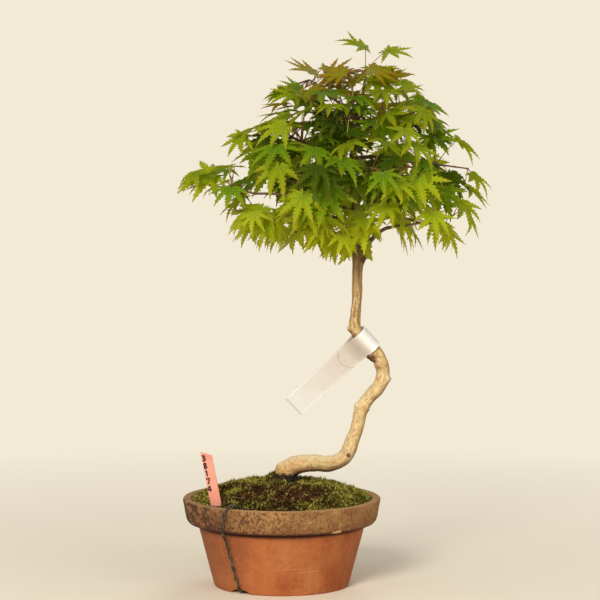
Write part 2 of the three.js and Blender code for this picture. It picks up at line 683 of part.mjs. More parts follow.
// A leaf and its stalk in one skin: the blade is two shallow cones over the lobed rim, and the
// three-sided stalk opens out of the blade's tail, on the side that it comes from
function leafSolid(leaf) {
  const { above, beside } = leaf.frame;
  const { way, rim } = leaf;
  const fromBelow = way.dot(above) > 0 ? 1 : -1;
  const [near, far] = [-1, 1].map((s) =>
    placed(leaf, [LEAF.ridge * leaf.length, 0, (s * fromBelow * LEAF.thick) / 2]),
  );
  const across = beside.clone().addScaledVector(way, -beside.dot(way)).normalize();
  const facing = across.clone().cross(way).multiplyScalar(fromBelow);
  const neck = (middle, radius) => [
    middle.clone().addScaledVector(across, -radius),
    middle.clone().addScaledVector(across, radius),
    middle.clone().addScaledVector(facing, radius),
  ];
  const points = [near, far, ...neck(leaf.node, STALK.root), ...neck(leaf.base, STALK.tip), ...rim];
  const [NEAR, FAR, ROOT, NECK, RIM] = [0, 1, 2, 5, 8];
  const last = RIM + rim.length - 1;
  const faces = [];
  for (let i = RIM; i < last; i++) faces.push(FAR, i + 1, i, NEAR, i, i + 1);
  const [right, left, front] = [NECK, NECK + 1, NECK + 2];
  faces.push(FAR, RIM, right, FAR, right, left, FAR, left, last);
  faces.push(NEAR, right, RIM, NEAR, front, right, NEAR, left, front, NEAR, last, left);
  for (const [a, b] of [[0, 2], [2, 1], [1, 0]]) {
    faces.push(NECK + a, NECK + b, ROOT + b, NECK + a, ROOT + b, ROOT + a);
  }
  faces.push(ROOT, ROOT + 2, ROOT + 1);
  return solid(new THREE.BufferGeometry().setFromPoints(points).setIndex(faces));
}

function shootSolid({ points, root, tip, steps }) {
  const stations = points.map((point, i) => ({ point, radius: lerp(root, tip, i / steps) }));
  return solid(limb(stations, SHOOT_SIDES));
}

// A shoot as straight pieces with a radius, for the clearance tests
function piecesOf({ points, root, tip }) {
  return points.slice(1).map((to, i) => {
    const radius = lerp(root, tip, i / points.length);
    return { from: points[i], to, radius };
  });
}

// The trunk inside the crown and the boughs as such pieces
function crownLimbs(boughs) {
  const rows = Array.from({ length: trunkRows - CROWN_FOOT + 1 }, (_, i) => CROWN_FOOT + i);
  const leader = rows.map((row) => ({ point: trunkPoint(row), radius: trunkRadius(row) }));
  return [leader, ...boughs.map(({ stations }) => stations)].flatMap((stations) =>
    stations.slice(1).map(({ point }, i) => ({
      from: stations[i].point,
      to: point,
      radius: stations[i].radius,
    })),
  );
}

// Materials by part of the plant
const paint = (color, roughness) => new THREE.MeshStandardMaterial({ color, roughness, metalness: 0 });
const CLAY = paint(0xb8663a, 0.85);
const EARTH = paint(0x3a2a1e, 0.95);
const MOSS_GREEN = paint(0x55601f, 0.95);
const BARK = paint(0xc9a76a, 0.75);
const BROWN = paint(0x6b3a2a, 0.7);
const LEAF_GREEN = paint(0x6f9a1c, 0.6);
const LEAF_BRONZE = paint(0x8a7a20, 0.6);
const PINK = paint(0xeca08c, 0.5);
const WHITE = paint(0xf2f0ea, 0.5);
const DARK_WIRE = new THREE.MeshStandardMaterial({ color: 0x3b342c, roughness: 0.55, metalness: 0.6 });
const BRONZE_MASSES = ["top_sprig", "left_sprig", "upper_right"];

const plant = new THREE.Group();
function add(name, made, material) {
  const mesh = new THREE.Mesh(geometryOf(made), material);
  mesh.name = name;
  plant.add(mesh);
}

function addPot() {
  add("pot", pot(), CLAY);
  const sunk = [label(CLEAR), wire(-1, CLEAR), wire(1, CLEAR)];
  const foot = rootFlare();
  const shifts = [[CLEAR, 0, 0], [-CLEAR, 0, 0], [0, CLEAR, 0], [0, -CLEAR, 0]];
  const around = shifts.map((shift) => foot.translate(shift));
  const trunkFoot = trunkStretch(...TRUNK_PIECES.trunk_run, CLEAR);
  add("soil", sunk.reduce((rest, cutter) => rest.subtract(cutter), soil()), EARTH);
  const cutters = [...sunk, ...around, trunkFoot];
  add("moss", cutters.reduce((rest, cutter) => rest.subtract(cutter), moss()), MOSS_GREEN);
  add("plant_label", label(), PINK);
  add("wire_left", wire(-1), DARK_WIRE);
  add("wire_right", wire(1), DARK_WIRE);
}

function addTrunk() {
  Object.entries(trunkSolids()).forEach(([name, made]) => add(name, made, BARK));
  add("strip_tag", tag(), WHITE);
}

function addCrown() {
  const boughs = MASSES.map(boughPath);
  const limbs = crownLimbs(boughs);
  const leader = trunkStretch(...TRUNK_PIECES.trunk_stem, CLEAR);
  MASSES.forEach((mass, i) => {
    if (boughs[i].stations.length) {
      const bough = solid(limb(boughs[i].stations, BOUGH.sides)).subtract(leader);
      add("bough_" + mass.name, largest(bough), BROWN);
    }
    const shoots = shootsOf(mass, boughs[i]);
    const leaves = grow(mass, i, shoots, limbs);
    const parts = [...shoots.map(shootSolid), ...leaves.map(leafSolid)];
    const foliage = largest(wasm.Manifold.union(parts));
    add("leaves_" + mass.name, foliage, BRONZE_MASSES.includes(mass.name) ? LEAF_BRONZE : LEAF_GREEN);
  });
}

addPot();
addTrunk();
addCrown();

export default plant;
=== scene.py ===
"""A young Japanese maple in a shallow clay pot: the looks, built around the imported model.

Lengths are millimetres until a piece is made, and angles are degrees until they are used.
+Z is up, the front is seen along +Y with +X to the right, and z is 0 under the pot."""
import math

import bpy
import numpy as np
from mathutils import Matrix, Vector, noise
from mathutils.kdtree import KDTree


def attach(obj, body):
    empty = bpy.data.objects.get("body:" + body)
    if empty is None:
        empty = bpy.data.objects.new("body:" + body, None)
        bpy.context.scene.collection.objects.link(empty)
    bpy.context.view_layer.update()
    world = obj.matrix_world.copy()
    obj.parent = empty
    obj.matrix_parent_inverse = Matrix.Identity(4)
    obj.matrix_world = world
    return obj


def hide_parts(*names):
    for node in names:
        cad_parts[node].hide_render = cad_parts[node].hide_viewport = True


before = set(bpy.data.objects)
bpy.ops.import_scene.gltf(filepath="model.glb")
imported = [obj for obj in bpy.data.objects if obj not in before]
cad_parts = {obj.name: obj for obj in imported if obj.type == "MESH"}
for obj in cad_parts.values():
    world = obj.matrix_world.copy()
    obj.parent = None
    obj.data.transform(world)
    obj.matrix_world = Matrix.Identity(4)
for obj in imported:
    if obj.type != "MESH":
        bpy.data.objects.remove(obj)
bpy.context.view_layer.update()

MM = 0.001
DEG = math.pi / 180
UP = np.array([0.0, 0.0, 1.0])
LEVEL = np.array([1.0, 1.0, 0.0])
SEED = 4201
CLEAR = 0.3  # gap between the model's solids

# The pot, its drain holes with their grooves, and the heaped soil and moss
POT = dict(height=94, neck=88.5, base=72)
DRAIN = dict(count=3, azimuth=-127, width=25, height=5, hole=10, hole_at=38)
MOSS = dict(top=112.5, edge=92, radius=94.3, fall=2.8, lump=1.1)
# Where its surface differs from the solid's: banked at the trunk's foot, lower by the height of the
# shoots, and raised again along the rim
MOSS_BED = dict(bank=10.5, lower=3.4, rim=1.6)
SOIL_TOP = 106
# Marks on the clay: two faint scored lines as height and ends, a dark spot and a pale chip
POT_LINES = [(29.6, -6, 34), (26.2, 12, 46)]
POT_SPOT = (48.0, -74.5, 58.5)
POT_CHIP = ((59.0, -82.6, 68.2), (7.5, 7.5, 2.9))  # its middle and reach

# Trunk: x, y, z and radius along its middle, from its rounded foot end to the leader's tip
TRUNK = np.array([
    [-2, 0, 117, 6.5],
    [6, 0, 123, 10.2],
    [16.5, -2, 128.5, 10.2],
    [33.5, -4, 130.5, 8.9],
    [51, -6, 130, 8.3],
    [67, -6, 138, 8.1],
    [74.5, -4, 154.5, 7.2],
    [80.5, -1, 170.5, 7.0],
    [84.5, 3, 187, 7.4],
    [93.5, 6, 200.5, 7.0],
    [104, 8, 212, 7.3],
    [107.5, 8, 227, 7.2],
    [102, 6, 243.5, 7.3],
    [90.5, 3, 258, 7.0],
    [78, 0, 272.5, 6.7],
    [78, 0, 288, 5.4],
    [79.5, 0, 304, 5.2],
    [80, 0, 331, 5.5],
    [80.5, 0, 348, 6.0],
    [77, 1, 372, 4.6],
    [73, 2, 410, 4.0],
    [74, 0, 450, 3.2],
    [79, -3, 486, 2.4],
    [88, -5, 536, 1.6],
], float)
LAST_ROW = len(TRUNK) - 1
# Plain swellings: their middle and radius
SWELLINGS = [((2.5, 0, 122.5), 9.5), ((82.4, 2.5, 190), 6), ((73.8, -1, 273.5), 4.7)]
# Lines and radii of the elbow's outer ridge and of the fork under the crown's right side
ELBOW = [
    (107, 7, 226, 5), (111.6, 7, 218.8, 5), (108, 7, 216, 6), (104, 7, 211.3, 7), (99.6, 6, 206.5, 7.2),
    (93.6, 5, 201, 6.9), (88.4, 5, 194.5, 6.2), (86, 5, 187, 4),
]
CROTCH = [(81, 0, 338, 4.6), (85.5, -1, 348, 3.8), (89.5, -2, 356, 3.1), (93, -2, 364, 2.7)]
# How much a bend in the fork's bough raises the crown there, by x, and how that fades with height
RAISED = [(90, 0), (93.7, 5), (99.5, 8), (111, 10.4), (119.5, 10), (130, 8), (144, 5), (168, 0)]
RAISED_FADE = [(316, 0), (352, 1), (386, 1), (430, 0)]
CROWN_FOOT = 17  # row at which the trunk enters the crown
FOOT = dict(x=5.5, y=0, radius=14.5, neck=9.5, height=17, roots=5, depth=2.6)
# Scars of cut branches: the trunk row they sit at, the way they face, their radius and how far out
KNOTS = [
    (12.35, (-1, -0.6, -0.75), 5.1, 6.6),
    (17.9, (0.9, -0.6, 0.2), 3.2, 4.4),
    (11.9, (-1, -0.5, 0), 4.6, 6.0),
]

# Crown: the dome that leaves follow, and the outline as height and reach to the left and right
DOME = dict(middle=np.array([60.0, 0, 385]), reach=np.array([165.0, 150, 190]))
OUTLINE = np.array([
    [336, 30, 160],
    [357, -44, 206],
    [376, -78, 224],
    [420, -120, 226],
    [445, -100, 216],
    [475, -68, 212],
    [505, -38, 190],
    [535, -18, 174],
    [565, -10, 150],
    [592, 20, 148],
], float)
OUTLINE_DEPTH = 0.9
OPENING = dict(left=88, right=124, top=366)  # bare space under the lowest bough on the right
# Each mass: name, middle, reach sideways and up, leaves, length of their middle lobe, how far they
# droop along the dome, and the trunk row where its bough leaves
CROWN = [
    ("top_sprig", (84, -2, 556), (56, 32), 2, 36, 0.3, 23),
    ("left_sprig", (26, -8, 540), (56, 38), 6, 35, 0.4, 22.1),
    ("upper_front", (74, -48, 512), (72, 50), 12, 40, 0.5, 21.4),
    ("upper_right", (136, 2, 500), (68, 52), 12, 40, 0.55, 21.8),
    ("upper_back", (66, 58, 506), (74, 52), 12, 40, 0.5, 21.6),
    ("upper_left", (6, -12, 478), (76, 50), 13, 41, 0.5, 20.9),
    ("front_left", (30, -88, 432), (78, 62), 13, 43, 0.6, 20.2),
    ("front_right", (118, -78, 446), (76, 62), 13, 43, 0.6, 20.6),
    ("right", (176, 8, 444), (68, 56), 12, 42, 0.6, 21.1),
    ("back_right", (112, 86, 434), (80, 62), 13, 43, 0.6, 20),
    ("back_left", (10, 80, 448), (80, 62), 13, 43, 0.6, 20.5),
    ("left_arm", (-62, 4, 422), (70, 48), 12, 42, 0.35, 19.7),
    ("lower_left", (-26, -44, 398), (74, 54), 10, 42, 0.5, 19.4),
    ("lower_front", (60, -58, 374), (74, 52), 10, 42, 0.5, 18.8),
    ("lower_right", (160, -40, 388), (72, 54), 10, 42, 0.6, 18.3),
    ("lower_back_right", (138, 52, 380), (74, 52), 10, 42, 0.5, 19.1),
    ("lower_back_left", (24, 56, 376), (76, 52), 10, 42, 0.5, 18.5),
]
# Seen from the front, in the trunk's plane: middle and reach of the places where sky shows, and of
# those that leaves close, as x and z
SKY = [
    (-4, 544, 15, 9), (14, 570, 16, 7), (-44, 503, 15, 15), (-70, 458, 25, 11), (158, 526, 11, 15),
    (142, 541, 13, 8), (191, 450, 15, 13), (188, 386, 11, 13), (163, 401, 9, 9), (-70, 405, 13, 11),
    (-13, 411, 10, 10), (38, 352, 11, 9), (142, 352, 13, 8), (106, 367, 9, 11), (-58, 380, 12, 10),
    (12, 538, 20, 8), (121, 560, 22, 9), (38, 537, 10, 8), (104, 350, 13, 12), (152, 364, 8, 8),
    (99, 554, 15, 8),
]
CLOSED = [
    (57, 537, 19, 9), (125, 522, 15, 9), (5, 503, 19, 9), (-10, 486, 13, 9), (51, 469, 21, 11),
    (67, 484, 22, 24), (67, 436, 17, 17), (116, 505, 17, 12), (150, 490, 16, 14), (164, 474, 12, 10),
    (74, 362, 12, 14), (58, 372, 12, 12), (96, 512, 14, 10),
]
# How boughs, stems, twigs, stalks and leaves grow, by the source's rule
BOUGH = dict(root=2.6, tip=1.5, steps=3, rise=0.1, enter=0.5, slimmest=0.8)
FORK = dict(below=19, root=3.4)
STEM = dict(root=1.6, tip=1.15, steps=4, past=0.32, lift=0.1, nodes=(1.6, 2.4, 3.2, 3.95))
TWIG = dict(root=1.3, tip=1.1, spread=62, length=0.5, nodes=(0.55, 0.96))
TWIGS_FROM = 6
STALK = dict(shortest=7, longest=46, askew=0.75, folded=-0.1, pairing=0.4, clear=1.3)
DARTS = 9000
SEED_STEP = 7919  # between the masses' seeds
PLACE = dict(within=0.85, outwards=0.6, swing=40, droop=14, roll=20, middle=0.42)
GROWTH = dict(least=0.88, spread=0.22, shrink=0.32)
# Lobes on one side of a leaf, as angle and share of the middle lobe's length, and its sinuses
LOBES = [(0, 1.0), (34, 0.93), (70, 0.76), (108, 0.48)]
LEAF = dict(sinus=0.5, closing=0.13, arch=0.1, apart=1.8, spacing=15)
LIMB_CLEAR, SHOOT_CLEAR, BLADE_MARGIN = 2.4, 1.5, 0.5


def unit(v):
    return v / np.linalg.norm(v)


def units(rows):
    return rows / np.linalg.norm(rows, axis=1)[:, None]


def even_turns(count):
    """Angles at even steps round a circle."""
    return np.arange(count) / count * 2 * np.pi


def seeded(seed):
    """A repeatable stream of numbers from 0 to 1."""
    state = seed & 0xFFFFFFFF

    def draw():
        nonlocal state
        state = (state * 1664525 + 1013904223) & 0xFFFFFFFF
        return state / 4294967296

    return draw


def bumpy(points, size, shift=0.0):
    """Smooth noise from -1 to 1 at each point, with lumps of about that size."""
    places = (np.asarray(points) / size + shift).tolist()
    return np.array([noise.noise(p) for p in places])


# Meshes: corners, faces and finishes gathered in millimetres into one piece


class Skin:
    def __init__(self):
        self.points, self.faces, self.finishes, self.count = [], [], [], 0

    def add(self, points, faces, finish=0):
        """Adds corners, and faces that number them from 0."""
        start = self.count
        self.points.append(np.asarray(points, float))
        self.count += len(points)
        self.join(start, faces, finish)

    def join(self, start, faces, finish=0):
        """Adds rows of corner numbers that count from start; finish is one for all or one for each."""
        self.faces.append(np.asarray(faces, int) + start)
        self.finishes.append(np.broadcast_to(finish, len(faces)))

    def mesh(self, name):
        points = np.concatenate(self.points)
        made = bpy.data.meshes.new(name)
        made.vertices.add(len(points))
        made.vertices.foreach_set("co", (points * MM).astype(np.float32).ravel())
        sizes = np.concatenate([np.full(len(f), f.shape[1]) for f in self.faces])
        made.loops.add(int(sizes.sum()))
        made.loops.foreach_set("vertex_index", np.concatenate([f.ravel() for f in self.faces]))
        made.polygons.add(len(sizes))
        made.polygons.foreach_set("loop_start", np.concatenate([[0], np.cumsum(sizes)[:-1]]))
        made.polygons.foreach_set("material_index", np.concatenate(self.finishes))
        made.update(calc_edges=True)
        return made


def put(name, data):
    """A new object in the scene."""
    made = bpy.data.objects.new(name, data)
    bpy.context.scene.collection.objects.link(made)
    return made


def set_piece(name, shape, materials, slot, nodes=(), smooth=True):
    """Puts a skin or mesh in the scene as a piece on the root body, in place of the nodes named."""
    mesh = shape.mesh(name) if isinstance(shape, Skin) else shape
    for material in materials:
        mesh.materials.append(material)
    if smooth:
        mesh.shade_smooth()
    else:
        mesh.shade_flat()
    made = put(name, mesh)
    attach(made, "root")
    if nodes:
        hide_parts(*nodes)


def applied(thing):
    """An object's mesh with its modifiers applied."""
    shown = thing.evaluated_get(bpy.context.evaluated_depsgraph_get())
    return bpy.data.meshes.new_from_object(shown)


def frames_along(points):
    """Tangents and two steady cross directions along a line of points."""
    tangents = units(np.vstack([points[1:], points[-1:]]) - np.vstack([points[:1], points[:-1]]))
    start = UP if abs(tangents[0][2]) < 0.9 else np.array([1.0, 0, 0])
    across = [unit(np.cross(start, tangents[0]))]
    for tangent in tangents[1:]:
        across.append(unit(across[-1] - tangent * across[-1].dot(tangent)))
    across = np.array(across)
    return tangents, across, np.cross(tangents, across)


def ring_faces(rings, sides):
    """The faces between one ring of corners and the next."""
    row, k = np.meshgrid(np.arange(rings - 1), np.arange(sides), indexing="ij")
    a, b = row * sides + k, row * sides + (k + 1) % sides
    return np.stack([a, b, b + sides, a + sides], axis=-1).reshape(-1, 4)


def add_tube(skin, points, radii, sides, finish=0):
    """A closed tube with a middle at each end; finish is one, or one for each stretch."""
    points, radii = np.asarray(points, float), np.asarray(radii, float)
    _, across, beside = frames_along(points)
    turns = even_turns(sides)[None, :, None]
    ring = np.cos(turns) * across[:, None] + np.sin(turns) * beside[:, None]
    corners = (points[:, None] + radii[:, None, None] * ring).reshape(-1, 3)
    first, top, k = len(corners), len(corners) - sides, np.arange(sides)
    each = np.repeat(np.broadcast_to(finish, len(points) - 1), sides)
    start = skin.count
    skin.add(np.vstack([corners, points[:1], points[-1:]]), ring_faces(len(points), sides), each)
    skin.join(start, np.vstack([
        np.stack([np.full(sides, first), (k + 1) % sides, k], axis=1),
        np.stack([np.full(sides, first + 1), top + k, top + (k + 1) % sides], axis=1),
    ]), each[0])


def add_rings(skin, rings):
    """Rings of corners joined in turn and closed by a flat face at each end."""
    count, sides = rings.shape[:2]
    start, k = skin.count, np.arange(sides)
    skin.add(rings.reshape(-1, 3), ring_faces(count, sides))
    skin.join(start, [k[::-1], k + (count - 1) * sides])


def add_ball(skin, middle, radius, sides=16):
    turns = np.linspace(-np.pi / 2 * 0.98, np.pi / 2 * 0.98, sides // 2)
    points = [np.asarray(middle) + UP * radius * math.sin(t) for t in turns]
    add_tube(skin, points, [radius * math.cos(t) for t in turns], sides)


def remade(skin, name, voxel):
    """The skin's closed shapes as one smooth mesh, by voxels of that size in millimetres."""
    rough = put(name + "_rough", skin.mesh(name + "_rough"))
    change = rough.modifiers.new("remesh", "REMESH")
    change.mode, change.voxel_size = "VOXEL", voxel * MM
    smooth = rough.modifiers.new("smooth", "SMOOTH")
    smooth.factor, smooth.iterations = 0.5, 4
    made = applied(rough)
    bpy.data.objects.remove(rough)
    made.name = name
    return made


def rows_of(items, key):
    """A vector of each item, such as its place or its normal."""
    found = np.zeros(len(items) * 3, np.float32)
    items.foreach_get(key, found)
    return found.reshape(-1, 3).astype(float)


# Materials


def tint(red, green, blue):
    """A colour as it shows on a screen, from 0 to 255, as a linear one."""
    shares = [c / 255 for c in (red, green, blue)]
    return tuple(c / 12.92 if c < 0.04045 else ((c + 0.055) / 1.055) ** 2.4 for c in shares) + (1.0,)


class Finish:
    """A material, with short ways to build its nodes. Lengths in nodes are metres."""

    def __init__(self, name, color, roughness, specular=0.5, metallic=0.0):
        self.material = bpy.data.materials.new(name)
        self.material.use_nodes = True
        self.tree = self.material.node_tree
        self.shader = self.tree.nodes["Principled BSDF"]
        self.shader.inputs["Base Color"].default_value = color
        self.shader.inputs["Roughness"].default_value = roughness
        self.shader.inputs["Specular IOR Level"].default_value = specular
        self.shader.inputs["Metallic"].default_value = metallic
        self.material.diffuse_color = color

    def node(self, kind, inputs, output=0, **settings):
        made = self.tree.nodes.new("ShaderNode" + kind)
        for key, value in settings.items():
            setattr(made, key, value)
        for key, value in inputs.items():
            self.feed(made.inputs[key], value)
        return made.outputs[output]

    def feed(self, socket, value):
        if isinstance(value, bpy.types.NodeSocket):
            self.tree.links.new(value, socket)
        else:
            socket.default_value = value

    def place(self):
        return self.node("TexCoord", {}, "Object")

    def axis(self, place, name):
        return self.node("SeparateXYZ", {0: place}, name)

    def noise(self, place, scale, detail=4.0, rough=0.55, stretch=(1, 1, 1)):
        if stretch != (1, 1, 1):
            place = self.node("Mapping", {"Vector": place, "Scale": stretch})
        return self.node("TexNoise", {"Vector": place, "Scale": scale, "Detail": detail, "Roughness": rough})

    def ranged(self, value, low, high, to_low=0.0, to_high=1.0):
        inputs = {"Value": value, "From Min": low, "From Max": high, "To Min": to_low, "To Max": to_high}
        return self.node("MapRange", inputs)

    def plus(self, a, b):
        return self.node("Math", {0: a, 1: b}, operation="ADD")

    def times(self, a, b):
        return self.node("Math", {0: a, 1: b}, operation="MULTIPLY")

    def off(self, value, level):
        """How far a value is from a level, above or below it."""
        return self.node("Math", {0: self.plus(value, -level)}, operation="ABSOLUTE")

    def mix(self, share, a, b):
        return self.node("Mix", {0: share, 6: a, 7: b}, 2, data_type="RGBA")

    def gap(self, place, centre):
        """How far, in metres, the place is from a point given in millimetres."""
        inputs = {0: place, 1: tuple(np.asarray(centre, float) * MM)}
        return self.node("VectorMath", inputs, "Value", operation="DISTANCE")

    def layers(self, shown, rows):
        """Lays tints over a colour. A row is what is measured, where the tint starts and where it is
        full, its share there, the tint, and any masks."""
        for value, start, full, most, color, *masks in rows:
            share = self.ranged(value, start, full, 0, most)
            for mask in masks:
                share = self.times(share, mask)
            shown = self.mix(share, shown, tint(*color))
        return shown

    def color(self, value):
        self.feed(self.shader.inputs["Base Color"], value)

    def rough(self, value):
        self.feed(self.shader.inputs["Roughness"], value)

    def relief(self, height, depth, strength=1.0):
        """Bumps whose depth is given in millimetres."""
        inputs = {"Height": height, "Distance": depth * MM, "Strength": strength}
        self.feed(self.shader.inputs["Normal"], self.node("Bump", inputs, "Normal"))


def terracotta():
    """Orange clay below, and a weathered brown band that is paler where it faces up and darker low down by
    painted light and shade, with a dark line under it that is partly painted shadow and partly dirt.
    """
    f = Finish("terracotta", tint(192, 108, 60), 0.85, 0.25)
    place = f.place()
    height, side = f.axis(place, "Z"), f.axis(place, "X")
    blotch = f.noise(place, 22, 5)
    fine = f.noise(place, 260, 6, 0.7)
    grit = f.noise(place, 520, 3, 0.6)
    streak = f.noise(place, 38, 4, 0.6, (1, 1, 0.25))
    uneven = f.plus(side, f.ranged(streak, 0, 1, -0.02, 0.02))
    clay = f.layers(tint(176, 102, 54), [
        (blotch, 0.38, 0.64, 1, (150, 76, 36)),
        (streak, 0.45, 0.75, 0.55, (186, 120, 72)),
        (uneven, -0.02, -0.1, 0.6, (134, 88, 60)),
        (fine, 0.5, 0.8, 0.4, (200, 142, 98)),
    ])
    for level, left, right in POT_LINES:
        off = f.off(height, level * MM)
        masks = [f.ranged(side, end * MM, (end + fade) * MM) for end, fade in ((left, 12), (right, -12))]
        masks.append(f.ranged(fine, 0.35, 0.6))
        clay = f.layers(clay, [(off, 0.0007, 0.0001, 0.5, (216, 160, 112), *masks)])
    crust = f.ranged(side, 0.06, -0.06, 0.45, 1.0)  # roughest on the left
    left_end = f.ranged(side, -0.02, -0.08)
    # The pot's far left, where the band has dark patches and a painted highlight along its top
    far_left = f.ranged(uneven, -0.045, -0.08)
    # How far a face turns up, for a painted highlight on the rim's top
    top = f.plus(f.axis(f.node("TexCoord", {}, "Normal"), "Z"), f.ranged(fine, 0, 1, -0.5, 0.5))
    band = f.layers(tint(176, 132, 80), [
        (blotch, 0.35, 0.65, 1, (140, 96, 54)),
        (side, 0, -0.055, 0.6, (120, 76, 46)),
        # Painted shade: the band darker low down, away from the light above
        (height, 0.083, 0.07, 0.6, (124, 76, 46)),
        (f.noise(place, 70, 4), 0.5, 0.68, 0.5, (120, 84, 48)),
        (grit, 0.53, 0.64, 0.7, (206, 164, 112), crust),
        (f.noise(place, 430, 4, 0.6, (1, 1, 0.7)), 0.5, 0.6, 1, (84, 50, 30), crust),
        (f.noise(place, 130, 5, 0.7, (1, 1, 0.6)), 0.5, 0.6, 0.8, (78, 46, 28), left_end),
        # Painted highlight: the top of the band paler at its left end
        (height, 0.082, 0.09, 0.6, (168, 124, 84), far_left),
        (f.noise(place, 95, 5, 0.6), 0.47, 0.54, 0.9, (74, 46, 32), far_left),
        (fine, 0.54, 0.66, 0.85, (70, 42, 24)),
        (f.noise(place, 120, 5), 0.56, 0.72, 0.35, (190, 152, 100)),
        # Painted highlight where the clay faces up
        (top, 0.5, 0.8, 0.5, (190, 148, 98)),
    ])
    edge = f.ranged(f.plus(height, f.ranged(streak, 0, 1, -0.0025, 0.0025)), 0.0655, 0.0685)
    below_band = f.off(height, 0.0664)
    pits = f.ranged(f.node("TexVoronoi", {"Vector": place, "Scale": 210}), 0.22, 0.05)
    middle, reach = np.array(POT_CHIP) * MM
    chip = f.node("VectorMath", {0: place, 1: tuple(middle)}, operation="SUBTRACT")
    chip = f.node("VectorMath", {0: chip, 1: tuple(1 / reach)}, operation="MULTIPLY")
    chip = f.node("VectorMath", {0: chip}, "Value", operation="LENGTH")
    chip = f.plus(chip, f.ranged(fine, 0.3, 0.7, -0.4, 0.4))
    f.color(f.layers(f.mix(edge, clay, band), [
        # A dark line under the band: partly painted shadow under its overhang, partly dirt
        (below_band, 0.0044, 0.0014, 1, (50, 20, 12)),
        (pits, 0, 1, 0.35, (96, 58, 38)),
        (f.gap(place, POT_SPOT), 0.0026, 0.001, 1, (70, 40, 26)),
        (chip, 1, 0.75, 1, (218, 180, 130)),
        (chip, 0.55, 0.4, 0.7, (150, 104, 66)),
    ]))
    f.rough(f.ranged(fine, 0.3, 0.7, 0.75, 0.95))
    coarse = f.plus(fine, f.times(grit, f.ranged(edge, 0, 1, 0.4, 1.6)))
    f.relief(f.plus(coarse, f.times(pits, -0.6)), 0.5, 0.9)
    return f.material


def bark():
    """Pale tan bark with flecks and scars, red-brown in the crown: paler where it faces up by painted
    highlight, darker below by painted shade with some grime and on its right by painted shade, and black at
    the foot, partly wet and partly painted shade.
    """
    f = Finish("bark", tint(214, 178, 118), 0.7, 0.25)
    along = f.node("Attribute", {}, "Vector", attribute_name="bark")
    place = f.place()
    height = f.axis(place, "Z")
    facing = f.node("TexCoord", {}, "Normal")
    broad = f.noise(along, 55, 4)
    grain = f.noise(along, 420, 5, 0.65, (0.35, 1, 1))
    fleck = f.noise(along, 320, 3, 0.5, (1, 0.8, 0.8))
    mottle = f.noise(along, 210, 5, 0.7, (0.7, 1, 1))
    hair = f.noise(along, 800, 4, 0.6, (0.22, 1, 1))
    streaks = f.noise(along, 460, 3, 0.5, (0.08, 1, 1))
    wave = {"Vector": along, "Scale": 60, "Distortion": 14, "Detail": 4, "Detail Scale": 2.2}
    wrinkle = f.ranged(f.node("TexWave", wave, "Fac"), 0.75, 0.98)
    foot_end = f.ranged(f.axis(along, "X"), 0.045, 0.01)
    edge = f.plus(height, f.ranged(broad, 0, 1, -0.02, 0.02))
    old = f.layers(tint(234, 208, 158), [
        (broad, 0.35, 0.65, 1, (218, 186, 130)),
        (mottle, 0.48, 0.64, 0.75, (178, 140, 82)),
        (mottle, 0.44, 0.3, 0.6, (246, 222, 172)),
        (grain, 0.48, 0.7, 0.75, (166, 124, 70)),
        (hair, 0.52, 0.68, 0.6, (142, 116, 72)),
        (fleck, 0.64, 0.74, 0.7, (120, 82, 42)),
        (f.noise(along, 30, 2), 0.55, 0.75, 0.5, (192, 172, 112)),
        (foot_end, 0, 1, 0.4, (210, 154, 92)),
        (wrinkle, 0, 1, 0.35, (160, 104, 54), foot_end),
        (edge, 0.275, 0.325, 0.65, (150, 120, 74)),
        (streaks, 0.47, 0.57, 0.85, (136, 100, 56), f.ranged(edge, 0.262, 0.28)),
    ])
    young = f.layers(tint(104, 70, 46), [(grain, 0.35, 0.7, 1, (72, 44, 32))])
    slope = f.plus(f.axis(facing, "Z"), f.ranged(mottle, 0, 1, -0.4, 0.4))
    patchy = f.ranged(fleck, 0.4, 0.55, 0.7, 1)
    shown = f.layers(f.mix(f.ranged(edge, 0.33, 0.365), old, young), [
        # Painted highlight where the bark faces up, and painted shade with some grime where it faces down
        (slope, 0.35, 0.95, 0.55, (248, 228, 190)),
        (slope, -0.05, -0.65, 0.9, (108, 68, 34)),
        # Painted shade where the bark faces right
        (f.axis(facing, "X"), 0.55, 1, 0.6, (150, 106, 58)),
        *[(f.gap(place, at), far * MM, 0.6 * far * MM, 1, (84, 50, 24), patchy) for at, far in SCARS],
    ])
    # The black foot: wet bark, and painted shade where it goes into the moss
    wet_and_shaded = f.layers(tint(26, 15, 13), [(broad, 0.4, 0.6, 1, (48, 30, 20))])
    low = f.plus(height, f.ranged(mottle, 0, 1, -0.006, 0.006))
    f.color(f.mix(f.ranged(low, 0.1212, 0.1182), shown, wet_and_shaded))
    bumps = f.plus(f.plus(grain, mottle), f.times(f.plus(fleck, wrinkle), 0.4))
    f.relief(bumps, 0.7, 0.9)
    return f.material


def young_bark(name, dark, light):
    f = Finish(name, tint(*dark), 0.55, 0.4)
    place = f.place()
    f.color(f.mix(f.ranged(f.noise(place, 300, 4), 0.35, 0.65), tint(*dark), tint(*light)))
    f.relief(f.noise(place, 900, 3), 0.2, 0.4)
    return f.material


def grainy(name, dark, light, scale, depth):
    """An earthy finish of two tones, with bumps that follow them."""
    f = Finish(name, tint(*dark), 0.95, 0.2)
    coarse = f.noise(f.place(), scale, 5, 0.65)
    f.color(f.mix(f.ranged(coarse, 0.35, 0.65), tint(*dark), tint(*light)))
    f.relief(coarse, depth)
    return f.material


def plain(name, color, roughness=0.7, specular=0.3):
    return Finish(name, tint(*color), roughness, specular).material


LIT_THROUGH = 0.36  # share of a leaf's light that comes through it


